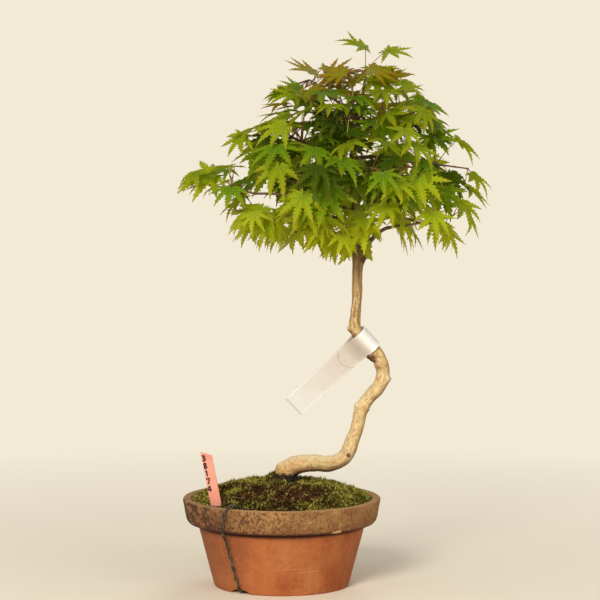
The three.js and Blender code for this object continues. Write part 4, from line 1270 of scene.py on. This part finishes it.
class Blade:
    """A leaf of unit length: its corners with the lobe and the share along it, faces and zones."""

    def __init__(self):
        self.points, self.lobe, self.share, self.index = [], [], [], {}
        self.faces, self.zones = [], []
        lobes = [*LOBES, SHAPE["basal"]]
        order = [(-turn, reach, i) for i, (turn, reach) in reversed(list(enumerate(lobes)))][:-1]
        order += [(turn, reach, i) for i, (turn, reach) in enumerate(lobes)]
        self.ways = np.array([[math.cos(t * DEG), math.sin(t * DEG)] for t, _, _ in order])
        self.reaches = np.array([r for _, r, _ in order])
        for k, (turn, reach, i) in enumerate(order):
            notches = [self.sinus(order, k, side) for side in (-1, 1)]
            self.add_lobe(k, turn, reach, SHAPE["teeth"][i], *notches)
        self.points = np.array(self.points)
        self.lobe, self.share = np.array(self.lobe), np.array(self.share)
        self.faces, self.zones = np.array(self.faces), np.array(self.zones)

    def sinus(self, order, k, side):
        """The angle and distance of the notch between a lobe and its neighbour."""
        if not 0 <= k + side < len(order):
            turn = order[k][0] + side * 24
            return turn, SHAPE["tail"]
        outer = max(order[k][2], order[k + side][2])
        turn = (order[k][0] + order[k + side][0]) / 2
        return turn, SHAPE["sinus"] * (1 - LEAF["closing"] * outer) * (1 if outer < 4 else 0.55)

    def corner(self, key, x, y, lobe, share, z=0.0):
        """The number of the corner with that key, which is made the first time it is asked for."""
        if key not in self.index:
            self.index[key] = len(self.points)
            self.points.append([x, y, z])
            self.lobe.append(lobe)
            self.share.append(share)
        return self.index[key]

    def face(self, corners, zone):
        if len(set(corners)) == 4:
            self.faces.append(corners)
            self.zones.append(zone)

    def add_lobe(self, k, turn, reach, teeth, left, right):
        way = np.array([math.cos(turn * DEG), math.sin(turn * DEG)])
        across = np.array([-way[1], way[0]])
        foot = 0.5 * sum(distance * math.cos((angle - turn) * DEG) for angle, distance in (left, right))
        steps = SHAPE["steps"]
        vein = SHAPE["vein"] * (0.5 + 0.5 * reach)
        middle = []
        for j in range(steps + 1):
            t = j / steps
            at = way * foot * t
            half = vein * min(1.0, 0.35 + t)
            sunk = -SHAPE["sunk"] * min(1, 2 * t)
            pair = [(s, at + across * s * half) for s in (-1, 1)]
            middle.append([self.corner((k, "m", j, s), *place, k, 0.0, sunk) for s, place in pair])
        for s, (angle, distance) in ((-1, left), (1, right)):
            cos, sin = math.cos(angle * DEG), math.sin(angle * DEG)
            edge = []
            for j in range(steps + 1):
                x, y = cos * distance * j / steps, sin * distance * j / steps
                edge.append(self.corner((round(angle, 3), "b", j), x, y, k, 0.0))
            self.add_strip([pair[0 if s < 0 else 1] for pair in middle], edge, s, (0, 0, 1, 1))
            self.add_free(k, way, across, s, foot, reach, teeth, middle[-1], edge[-1], vein)
        self.add_midrib(*zip(*middle))

    def add_strip(self, inner, outer, side, zones):
        for j, zone in enumerate(zones):
            corners = [inner[j], inner[j + 1], outer[j + 1], outer[j]]
            self.face(corners if side > 0 else corners[::-1], zone)

    def add_midrib(self, left, right):
        for j in range(len(left) - 1):
            self.face([left[j], left[j + 1], right[j + 1], right[j]], MIDRIB)

    def add_free(self, k, way, across, side, foot, reach, teeth, root, sinus, vein):
        """One half of a lobe beyond its sinus: forward-pointing teeth along a drawn-out taper."""
        start = np.array(self.points[sinus][:2])
        along0, wide0 = start.dot(way), abs(start.dot(across))
        inner, outer, zones = [root[0 if side < 0 else 1]], [sinus], []

        def width(u):
            return wide0 * float(np.interp(u, *zip(*TAPER)))

        step = SHAPE["toothed"] / teeth
        for tooth in range(teeth):
            # The tooth's tip, then the notch: how far along are its edge and its midrib end
            for part, (u_out, u_in, scale) in enumerate((
                ((tooth + 0.95) * step, (tooth + 0.6) * step, SHAPE["tooth"]),
                ((tooth + 1.0) * step, (tooth + 1.0) * step, SHAPE["notch"]),
            )):
                at = way * (foot + (reach - foot) * u_in) + across * side * vein * (1 - 0.8 * u_in)
                sunk = -SHAPE["sunk"] * (1 - u_in)
                inner.append(self.corner((k, "i", tooth, part, side), *at, k, u_in, sunk))
                wide = max(width(u_out) * scale, vein * 0.6)
                edge = way * (along0 + (reach - along0) * u_out) + across * side * wide
                lift = (-0.006 if part == 0 else 0.01) * (1 - u_out)
                outer.append(self.corner((k, "o", tooth, part, side), *edge, k, u_out, lift))
                zones.append(2 if u_in < 0.5 else 3)
        tip = self.corner((k, "tip"), *(way * reach), k, 1.0)
        near = self.corner((k, "near", side), *(way * reach * 0.985 + across * side * vein * 0.2), k, 0.97)
        self.add_strip([*inner, near], [*outer, tip], side, [*zones, 3])
        if side > 0:
            # The pale midrib between the lobe's two halves
            keys = [(k, "i", t, p) for t in range(teeth) for p in range(2)] + [(k, "near")]
            left, right = ([self.index[(*key, s)] for key in keys] for s in (-1, 1))
            self.add_midrib([root[0], *left], [root[1], *right])


BLADE = Blade()
# How much the lobes of single leaves differ in length, in bend and in hang, and how deep they fold
VARIED = dict(stretch=0.16, bend=0.34, hang=0.42, least_fold=0.22, fold=0.34, tip_drop=0.04)


def blade_corners(leaf, draw):
    """The unit blade bent, folded and stretched lobe by lobe, and put in its place."""
    p = BLADE.points.copy()
    count = len(BLADE.ways)
    share = BLADE.share
    way = BLADE.ways[BLADE.lobe]
    reach = BLADE.reaches[BLADE.lobe]
    across = np.stack([-way[:, 1], way[:, 0]], axis=1)
    stretch = ((draw.random(count) - 0.45) * VARIED["stretch"])[BLADE.lobe]
    bend = ((draw.random(count) - 0.5) * VARIED["bend"])[BLADE.lobe]
    # Lobes hang more on the leaves lower down
    high = np.interp(leaf.centre[2], [440, 540], [0.6, 0.3])
    lift = ((draw.random(count) - high) * VARIED["hang"])[BLADE.lobe]
    fold = VARIED["least_fold"] + VARIED["fold"] * draw.random()
    p[:, :2] += way * (share * stretch * reach)[:, None]
    p[:, :2] += across * (share**2 * bend * reach)[:, None]
    aside = np.abs(np.sum(p[:, :2] * across, axis=1) - share**2 * bend * reach)
    distance = np.hypot(p[:, 0], p[:, 1])
    p[:, 2] += fold * np.where(share > 0, aside, aside * 0.5)
    p[:, 2] += share**2 * lift * reach
    p[:, 2] -= LEAF["arch"] * distance**2 + VARIED["tip_drop"] * share**3
    return laid_out(leaf.base, p * (leaf.length * SHAPE["scale"]), leaf.ways)


# Tints of a leaf: its middle, the ring round it, the lobes, their ends, and the midribs
FAMILIES = {
    # The deep family is painted shade: a dark tint for leaves inside the crown
    "deep": [(56, 76, 12), (62, 84, 12), (70, 90, 12), (82, 94, 14), (98, 110, 30)],
    "green": [(90, 124, 16), (98, 132, 16), (112, 140, 14), (126, 142, 18), (140, 164, 52)],
    "mid": [(120, 142, 16), (130, 150, 16), (140, 154, 16), (148, 148, 20), (164, 174, 56)],
    "bright": [(132, 154, 20), (142, 162, 20), (150, 164, 22), (154, 156, 28), (172, 186, 64)],
    "lime": [(146, 164, 26), (154, 170, 28), (162, 172, 30), (166, 166, 34), (184, 196, 76)],
    "olive": [(140, 138, 20), (146, 138, 22), (148, 132, 24), (146, 118, 26), (170, 160, 66)],
    "bronze": [(138, 122, 18), (144, 116, 22), (140, 106, 26), (128, 86, 30), (162, 142, 62)],
}
# How likely each family is in each part of the crown
MIXES = {
    "top": {"olive": 7, "bronze": 0.6, "mid": 2},
    "shoulder": {"olive": 2.2, "mid": 5, "green": 1.5},
    # The heart's deep leaves are painted shade
    "heart": {"green": 6, "deep": 4, "mid": 3},
    "side": {"mid": 5, "bright": 3, "green": 1.2},
    # The skirt's bright and lime leaves are partly painted light, as if lit from the front and below
    "skirt": {"bright": 5, "lime": 3, "mid": 2},
}
YOUNG = ("top_sprig", "left_sprig", "upper_right")
DEEP_INSIDE = 34  # leaves further than this inside the outline are shaded ones
SHADED = 0.75  # the share of those that take a dark tint, and the chance that it is the darkest
DARKEST = {"heart": 0.7, "side": 0.35}
# Heights over which the parts of the crown start, and the heart's top, middle and half width
PARTS = dict(top=532, shoulder=490, side=402, heart=395, heart_top=515, middle=66, half=46)


def part_of(leaf):
    """The part of the crown that a leaf belongs to by its place."""
    x, _, z = leaf.centre
    if z > PARTS["top"]:
        return "top"
    if PARTS["heart"] < z < PARTS["heart_top"] and abs(x - PARTS["middle"]) < PARTS["half"]:
        return "heart"
    if z > PARTS["shoulder"]:
        return "shoulder"
    return "side" if z > PARTS["side"] else "skirt"


def family_of(leaf, draw):
    part = part_of(leaf)
    if part in DARKEST and float(inside_outline(leaf.centre)) > DEEP_INSIDE and draw.random() < SHADED:
        return "deep" if draw.random() < DARKEST[part] else "green"
    names = list(MIXES[part])
    weights = np.array([MIXES[part][n] for n in names], float)
    return names[int(draw.choice(len(names), p=weights / weights.sum()))]


def raised(points):
    """Points of the crown, lifted where the fork's bough bends up."""
    points = np.array(points, float)
    points[:, 2] += np.interp(points[:, 0], *zip(*RAISED)) * np.interp(points[:, 2], *zip(*RAISED_FADE))
    return points


def build_leaves(mass, leaves, finishes, draw):
    skin = Skin()
    names = list(FAMILIES)
    for leaf in leaves:
        family = names.index(family_of(leaf, draw))
        skin.add(raised(blade_corners(leaf, draw)), BLADE.faces, BLADE.zones + 5 * family)
    name, slot = "foliage_" + mass.name, "young_leaf" if mass.name in YOUNG else "leaf"
    set_piece(name, skin, finishes, slot, ["leaves_" + mass.name])


def bowed_line(start, end, lift, steps):
    curve = bowed(start, end, lift)
    return np.array([curve(i / steps) for i in range(steps + 1)])


# A stalk's radii and the finishes along it, and a fine twig's share of the way, rise and radii
STALK_RADII = [0.85, 0.55, 0.46, 0.44, 0.43, 0.42, 0.42, 0.5]
STALK_FINISHES = [0, 0, 1, 1, 1, 2, 2]
FINE_TWIG = dict(share=0.45, rise=1.5, root=0.85, tip=0.6)


def build_stalks(leaves):
    """Leaf stalks, red-brown at the node and green at the leaf, and the fine twigs of small leaves."""
    stalks = Skin()
    twigs = Skin()
    for leaf in leaves:
        start, end = leaf.node, leaf.base
        if leaf.extra:
            fork = start + (end - start) * FINE_TWIG["share"] + UP * FINE_TWIG["rise"]
            line = bowed_line(start, fork, 0.06, 4)
            add_tube(twigs, raised(line), np.linspace(FINE_TWIG["root"], FINE_TWIG["tip"], 5), 6)
            start = line[-1]
        add_tube(stalks, raised(bowed_line(start, end, 0.1, 7)), STALK_RADII, 5, STALK_FINISHES)
    materials = [
        plain("stalk_red", (118, 74, 46), 0.5),
        plain("stalk_tan", (156, 118, 58), 0.5),
        plain("stalk_green", (140, 152, 50), 0.5),
    ]
    set_piece("leaf_stalks", stalks, materials, "young_bark")
    return twigs


def add_bough(skin, mass):
    """A bough that wanders a little between its ends."""
    t = np.linspace(0, 1, 27)
    line = np.array([mass.bough(x) for x in t])
    wander = np.stack([bumpy(line, 16, shift) for shift in (1.0, 4.0, 7.0)], axis=1)
    radii = (mass.root + (BOUGH["tip"] - 0.3 - mass.root) * t**0.7) * (1 + 0.1 * bumpy(line, 6, 3.0))
    add_tube(skin, raised(line + wander * np.sin(t * np.pi)[:, None] * 1.4), radii, 12)


def add_shoot(skin, mass, points, kind):
    """A shoot with swellings where leaves are borne."""
    if kind is STEM:
        t = np.linspace(-0.03, SPRIGS[mass.name][0] if mass.name in SPRIGS else 1, 25)
        line = np.array([mass.stem(x) for x in t])
        steps = t * STEM["steps"]
    else:
        steps = np.linspace(0, 1, 13)
        line = np.array([points[0] + (points[1] - points[0]) * x for x in steps])
    slim = 0.5 if mass.bough is None else 0.85
    radii = slim * (kind["root"] + (0.75 * kind["tip"] - kind["root"]) * np.clip(steps / steps[-1], 0, 1))
    for node in kind["nodes"]:
        radii = radii + 0.3 * np.exp(-(((steps - node) / 0.09) ** 2))
    add_tube(skin, raised(line), radii, 8)


def build_limbs(twigs):
    """Boughs and the shoots that go on from them."""
    boughs = Skin()
    with_bough = [mass for mass in MASSES if mass.bough is not None]
    for mass in with_bough:
        add_bough(boughs, mass)
    for mass in MASSES:
        for points, kind in mass.shoots:
            if kind is STEM or mass.name not in SPRIGS:
                add_shoot(twigs, mass, points, kind)
    old = young_bark("bough_bark", (78, 52, 34), (116, 86, 56))
    new = young_bark("twig_bark", (94, 60, 38), (132, 100, 60))
    set_piece("boughs", boughs, [old], "young_bark", ["bough_" + mass.name for mass in with_bough])
    set_piece("twigs", twigs, [new], "young_bark")


# The two highest sprigs: the share of the stem that shows, and for each leaf borne at its end its
# base, the way it points, the way its face looks and its length
SPRIGS = {
    "top_sprig": (0.28, [
        ((88, -6, 568.5), (-0.86, -0.1, 0.42), (0.42, -0.2, 0.88), 36),
        ((110, -3, 566), (0.88, -0.4, -0.14), (0.14, -0.4, 0.9), 33),
    ]),
    "left_sprig": (0.4, [
        ((34.2, -8, 543.5), (-0.9, -0.15, 0.34), (0.32, -0.22, 0.9), 37),
        ((47, -10, 540.5), (0.8, -0.2, 0.26), (-0.34, -0.4, 0.85), 38),
        ((21, -14, 525), (-0.8, -0.3, 0.36), (0.2, -0.5, 0.84), 27),
    ]),
}
# Leaves put where the photograph shows them, or shows no sky: the mass, the share of its stem that
# bears the leaf, and the leaf's base, the way it points, the way its face looks and its length
PLACED = [
    ("upper_front", 0.5, (96, -24, 537), (0.72, -0.45, -0.5), (0.2, -0.62, 0.75), 38),
    ("lower_front", 0.3, (84, -24, 386), (-0.42, -0.12, -0.9), (0.15, -0.98, 0.1), 50),
    ("upper_right", 0.4, (111, -16, 500), (0.1, -0.5, -0.85), (0, -0.75, 0.65), 40),
    ("upper_right", 0.7, (156, -14, 474), (0.94, -0.3, 0.02), (0, -0.6, 0.8), 36),
    ("upper_back", 0.5, (102, 30, 492), (0.25, -0.25, -0.93), (0, -0.93, 0.3), 42),
    ("upper_back", 0.3, (64, 30, 486), (0.1, -0.25, -0.95), (0, -0.95, 0.25), 42),
    ("left_arm", 0.4, (-70, -12, 436), (-0.93, -0.2, -0.28), (-0.2, -0.65, 0.72), 44),
]


def posed(mass, share, base, forward, above, length):
    """A leaf on a stalk from that share of its mass's stem."""
    base, forward = np.array(base, float), unit(np.array(forward))
    beside = unit(np.cross(above, forward))
    ways = forward, beside, np.cross(forward, beside)
    centre = base + PLACE["middle"] * length * forward
    return Leaf(centre, base, laid_out(base, RIM * length, ways), length, ways, mass.stem(share))


# What a leaf's tint is multiplied by where light comes through it
GLOW = (1.35, 1.3, 0.8)


def build_crown():
    for mass in MASSES:
        mass.set_limbs()
    rows = range(CROWN_FOOT, LAST_ROW + 1)
    leader = [(trunk_point(r), trunk_point(r + 1), trunk_radius(r)) for r in rows[:-1]]
    limbs = as_arrays(leader + [piece for mass in MASSES for piece in mass.bough_pieces()])
    grown = [grow(mass, i, limbs) for i, mass in enumerate(MASSES)]
    for i, mass in enumerate(MASSES):
        if mass.name in SPRIGS:
            share, poses = SPRIGS[mass.name]
            grown[i] = [posed(mass, share, *pose) for pose in poses]
        else:
            grown[i] = [leaf for leaf in grown[i] if not bars_sky(leaf.centre, leaf.rim)]
    every = [leaf for leaves in grown for leaf in leaves]
    for i, mass in enumerate(MASSES):
        added = infill(mass, i, every, limbs)
        added += [posed(mass, share, *pose) for name, share, *pose in PLACED if name == mass.name]
        grown[i] = grown[i] + added
        every = every + added
    finishes = []
    for family, colors in FAMILIES.items():
        for zone, color in enumerate(colors):
            glow = [min(255, round(c * k)) for c, k in zip(color, GLOW)]
            finishes.append(leafy(f"leaf_{family}_{zone}", color, glow))
    draw = np.random.default_rng(SEED + 1)
    for mass, leaves in zip(MASSES, grown):
        build_leaves(mass, leaves, finishes, draw)
    build_limbs(build_stalks(every))


# Label, strip and wires

# The label's foot in the moss, its size, how far it leans to the left and how it is turned
LABEL = dict(x=-67.5, y=-57, buried=18, height=59, width=13.5, lean=11, turn=-35)
# The strip: the trunk row and radius of its loop, how far its tail reaches, the angle at which that
# falls, how far round from the tail the loop starts, the length of the shorter end, how much the tail
# sags, how much its edges curl, and the number of corners across it
TAG = dict(
    row=13.15, width=25, loop=9.1, thick=0.3, tail=104, fall=43, leave=62,
    end=15, sag=3.2, cup=0.35, across=11,
)
# The wires' radius, half the gap between their middles, the length of a turn, how far they rise over
# each other, and how far the twisted stretch lies outside its line
WIRE = dict(radius=0.85, spread=1.25, pitch=26, over=0.55, lifted=0.5)
# Their way: radius, height and degrees round from the drain groove
WIRE_ROUTE = [
    (92.2, 92, 7.3),
    (94, 96.2, 7.2),
    (98, 97.2, 7.3),
    (103, 96.6, 6.2),
    (106.6, 93.5, 5),
    (106.2, 86, 3.2),
    (104.4, 76, 1.6),
    (101.8, 69, 0.6),
    (95, 61, -0.8),
    (88.2, 50, -2),
    (82.2, 30, -1),
    (76.6, 12, 0.6),
    (73.6, 4.5, 0.8),
    (66, 2.2, 0.8),
    (46, 2.2, 0.8),
    (38, 4, 0.8),
    (36, 8.4, 0.8),
]


def label_point(across, up, out):
    """A point given across the label, up from the moss and out of its face, in the model's frame."""
    turn, lean = LABEL["turn"] * DEG, -LABEL["lean"] * DEG
    x, y, z = across, -out, up
    x, y = x * math.cos(turn) - y * math.sin(turn), x * math.sin(turn) + y * math.cos(turn)
    x, z = x * math.cos(lean) + z * math.sin(lean), -x * math.sin(lean) + z * math.cos(lean)
    return [x + LABEL["x"], y + LABEL["y"], z + POT["height"] - 2]


# Strokes of the digits on the label, in a cell one wide and two high
DIGITS = {
    "1": [(0.3, 1.6), (0.6, 2), (0.55, 0)],
    "3": [(0.1, 1.8), (0.5, 2), (0.85, 1.6), (0.4, 1.1), (0.9, 0.6), (0.5, 0), (0.05, 0.3)],
    "4": [(0.7, 0), (0.65, 2), (0.05, 0.7), (1, 0.75)],
    "7": [(0.05, 1.9), (0.95, 1.95), (0.4, 0)],
    "8": [(0.5, 1.05), (0.15, 1.5), (0.5, 2), (0.85, 1.5), (0.1, 0.5), (0.5, 0), (0.9, 0.5), (0.5, 1.05)],
}
# Their column: left edge, foot of the first one, step down, size, flatness and the strokes' radius
COLUMN = dict(left=-5.9, first=9.5, step=8.2, size=4.2, flat=0.66, stroke=0.8)
# The plate's rounded edge: how far out of the face, and how far in from the outline
PLATE_EDGE = [(-0.6, 0.25), (-0.42, 0), (0.42, 0), (0.6, 0.25)]


def build_label():
    half, foot, top = LABEL["width"] / 2, -LABEL["buried"], LABEL["height"]
    # Narrower at its foot, with a slanting top
    outline = [(-half * 0.5, foot), (half * 0.5, foot), (half, 8 + foot)]
    outline += [(half, top - 4.5), (-half, top), (-half, 8 + foot)]
    middle = np.mean(outline, axis=0)
    rings = []
    for out, inset in PLATE_EDGE:
        for corner in outline:
            away = np.array(corner) - middle
            rings.append(label_point(*(middle + away * (1 - inset / np.abs(away).max())), out))
    skin = Skin()
    add_rings(skin, np.array(rings).reshape(len(PLATE_EDGE), len(outline), 3))
    pink = Finish("label_pink", tint(240, 164, 140), 0.42, 0.4)
    place = pink.place()
    patches = pink.ranged(pink.noise(place, 60, 4), 0.4, 0.65)
    pink.color(pink.mix(patches, tint(242, 166, 144), tint(230, 146, 124)))
    pink.relief(pink.noise(place, 500, 3), 0.06, 0.5)
    set_piece("label_plate", skin, [pink.material], "label", ["plant_label"], smooth=False)
    build_digits()


def build_digits():
    """A column of plain hand-written digits, as thin raised strokes along the label's left edge."""
    skin = Skin()
    size = COLUMN["size"]
    for i, digit in enumerate("38174"):
        foot = LABEL["height"] - COLUMN["first"] - i * COLUMN["step"]
        stroke = np.array(DIGITS[digit], float)
        fine = [catmull_rom(stroke, t) for t in np.linspace(0, 1, 8 * len(stroke))]
        tall = size * COLUMN["flat"]
        line = [label_point(COLUMN["left"] + a * size, foot + b * tall, 0.62) for a, b in fine]
        add_tube(skin, line, np.full(len(line), COLUMN["stroke"]), 6)
    set_piece("label_digits", skin, [plain("ink", (34, 20, 22), 0.5)], "label")


def strip_white(middle, down):
    """The strip's finish: shaded by how far down the strip a place is from the trunk's middle."""
    f = Finish("strip_white", tint(226, 220, 208), 0.45, 0.35)
    place = f.place()
    along = f.node("VectorMath", {0: place, 1: tuple(down)}, "Value", operation="DOT_PRODUCT")
    reach = f.plus(along, -float(middle.dot(down)) * MM)
    f.color(f.layers(tint(202, 190, 176), [
        (reach, 0.03, 0.09, 1, (219, 217, 211)),
        (reach, 0.004, 0.010, 0.8, (172, 156, 144), f.ranged(reach, 0.026, 0.012)),
        (reach, 0.006, 0, 1, (232, 232, 230)),
        (f.noise(place, 30, 3), 0.4, 0.7, 0.3, (198, 188, 174)),
    ]))
    f.relief(f.noise(place, 240, 4), 0.08, 0.4)
    return f.material


def build_strip():
    """The strip tag: a paper band looped round the trunk, whose shorter end lies on its longer one."""
    middle = trunk_point(TAG["row"])
    axis = unit(trunk_point(TAG["row"] + 0.6) - trunk_point(TAG["row"] - 0.6))
    down = np.array([-math.cos(TAG["fall"] * DEG), 0, -math.sin(TAG["fall"] * DEG)])
    down = unit(down - axis * down.dot(axis))
    across = np.cross(axis, down)
    leave = TAG["leave"] * DEG
    meet = TAG["loop"] / math.cos(leave) + 1

    def sag(s):
        return TAG["sag"] * (max(0, s - meet) / TAG["tail"]) ** 2

    lower = [(s, -0.35 + sag(s)) for s in np.linspace(TAG["tail"], meet, 26)]
    upper = [(s, 0.3 + sag(s)) for s in np.linspace(meet, meet + TAG["end"], 10)]
    turns = np.linspace(-leave, -2 * math.pi + leave, 40)
    radius = TAG["loop"] + 0.4
    loop = [(radius * math.cos(a), radius * math.sin(a)) for a in turns]
    path = np.array(lower + loop + upper)
    # Its two faces, whose corners lie under and over the path, and then its edges
    tangents = units(np.gradient(path, axis=0))
    outwards = np.stack([-tangents[:, 1], tangents[:, 0]], axis=1)
    wide = np.linspace(-TAG["width"] / 2, TAG["width"] / 2, TAG["across"])
    layers = []
    for side in (-1, 1):
        for row, ((s, t), (ns, nt)) in enumerate(zip(path, outwards)):
            for w in wide:
                if row >= len(path) - len(upper):
                    # The shorter end is rounded
                    s = meet + (path[row][0] - meet) * (1 - 0.5 * (w / TAG["width"] * 2) ** 2)
                cup = TAG["cup"] * (w / TAG["width"] * 2) ** 2 * (s > meet)
                a, b = s + side * ns * TAG["thick"] / 2, t + side * nt * TAG["thick"] / 2 + cup
                layers.append(middle + down * a + across * b + axis * w)
    rows, columns = len(path), len(wide)
    i, k = np.meshgrid(np.arange(rows - 1), np.arange(columns - 1), indexing="ij")
    a = (i * columns + k).ravel()
    near = np.stack([a, a + 1, a + columns + 1, a + columns], axis=1)
    shift = rows * columns
    skin = Skin()
    skin.add(layers, np.vstack([near[:, ::-1], near + shift]))
    edge = [*range(columns)], [*range((rows - 1) * columns, rows * columns)]
    edge += [i * columns for i in range(rows)], [i * columns + columns - 1 for i in range(rows)]
    skin.join(0, [[a, b, b + shift, a + shift] for line in edge for a, b in zip(line, line[1:])])
    set_piece("strip_band", skin, [strip_white(middle, down)], "strip", ["strip_tag"])


def build_wires():
    """Two strands loosely twisted together, over the rim and down into a drain groove."""
    azimuth = DRAIN["azimuth"] * DEG
    lead = []
    for r, z, turn in WIRE_ROUTE:
        a = azimuth + turn * DEG
        lead.append([r * math.cos(a), r * math.sin(a), z])
    line = np.array([catmull_rom(np.array(lead), t) for t in np.linspace(0, 1, 161)])
    lengths = lengths_along(line)
    tangents, _, _ = frames_along(line)
    level = units(np.cross(tangents, units(line * LEVEL)))
    lift = np.cross(level, tangents)
    f = Finish("wire_dark", tint(58, 46, 36), 0.5, 0.5, 0.55)
    place = f.place()
    # The paler patches on the dark wire are painted highlights, scattered at random
    f.color(f.mix(f.ranged(f.noise(place, 200, 4), 0.4, 0.7), tint(64, 54, 42), tint(118, 106, 84)))
    f.relief(f.noise(place, 800, 3), 0.08, 0.5)
    # The share of their twist that they have: none where they lie side by side in the groove
    free = np.interp(lengths, [0, 18, lengths[-1] - 50, lengths[-1] - 40], [0.3, 1, 1, 0])
    turns = 2 * np.pi * lengths / WIRE["pitch"]
    for name, side in (("left", -1), ("right", 1)):
        over = side * np.sin(turns) * free
        beside = np.where(free < 0.05, side, side * np.cos(turns))
        strand = line + level * (beside * WIRE["spread"])[:, None]
        strand += lift * (WIRE["over"] * over + WIRE["lifted"] * free)[:, None]
        skin = Skin()
        add_tube(skin, strand, np.full(len(strand), WIRE["radius"]), 12)
        set_piece("wire_strand_" + name, skin, [f.material], "wire", ["wire_" + name])


# Stage, light and camera

BACKGROUND = tint(243, 234, 214)
CAMERA = dict(place=(0.0194, -2.950, 0.541), pitch=4.6, lens=168)


def build_stage():
    """A plain pale floor that runs out into the background."""
    bpy.ops.mesh.primitive_circle_add(vertices=96, radius=14, fill_type="NGON")
    floor = bpy.context.object
    floor.name = "floor"
    f = Finish("floor_pale", tint(250, 240, 220), 0.9, 0.1)
    place = f.place()
    distance = f.node("VectorMath", {0: place}, "Value", operation="LENGTH")
    glow = f.node("Emission", {"Color": BACKGROUND, "Strength": 1.0})
    mixed = f.node("MixShader", {0: f.ranged(distance, 0.12, 1.1), 1: f.shader.outputs["BSDF"], 2: glow})
    f.tree.links.new(mixed, f.tree.nodes["Material Output"].inputs["Surface"])
    floor.data.materials.append(f.material)


def add_light(name, place, target, size, power, color):
    data = bpy.data.lights.new(name, "AREA")
    data.shape, data.size, data.energy, data.color = "DISK", size, power, color
    light = put(name, data)
    light.location = place
    light.rotation_euler = (Vector(target) - Vector(place)).to_track_quat("-Z", "Y").to_euler()


def build_light():
    world = bpy.data.worlds.new("studio")
    world.use_nodes = True
    bpy.context.scene.world = world
    nodes, links = world.node_tree.nodes, world.node_tree.links
    seen = nodes.new("ShaderNodeBackground")
    seen.inputs["Color"].default_value = BACKGROUND
    soft = nodes["Background"]
    soft.inputs["Color"].default_value = (1.0, 0.96, 0.9, 1)
    soft.inputs["Strength"].default_value = 0.3
    mixed = nodes.new("ShaderNodeMixShader")
    path = nodes.new("ShaderNodeLightPath")
    links.new(path.outputs["Is Camera Ray"], mixed.inputs[0])
    links.new(soft.outputs[0], mixed.inputs[1])
    links.new(seen.outputs[0], mixed.inputs[2])
    links.new(mixed.outputs[0], nodes["World Output"].inputs["Surface"])
    add_light("key", (-0.7, -2.4, 1.35), (0.05, 0, 0.3), 0.9, 62, (1, 0.96, 0.9))
    add_light("fill", (1.5, -1.7, 0.8), (0.05, 0, 0.25), 1.3, 10, (1, 0.97, 0.93))
    add_light("back", (0.5, 1.6, 1.6), (0.05, 0, 0.4), 1.2, 10, (1, 0.98, 0.94))
    bpy.context.scene.view_settings.view_transform = "Standard"


def build_camera():
    data = bpy.data.cameras.new("camera")
    data.lens = CAMERA["lens"]
    camera = put("camera", data)
    camera.location = CAMERA["place"]
    camera.rotation_euler = ((90 - CAMERA["pitch"]) * DEG, 0, 0)
    bpy.context.scene.camera = camera


build_pot()
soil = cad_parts["soil"]
soil.data.materials.clear()
soil.data.materials.append(grainy("soil_grit", (36, 25, 18), (78, 58, 40), 240, 1.0))
build_moss()
build_trunk()
build_crown()
build_label()
build_strip()
build_wires()
build_stage()
build_light()
build_camera()
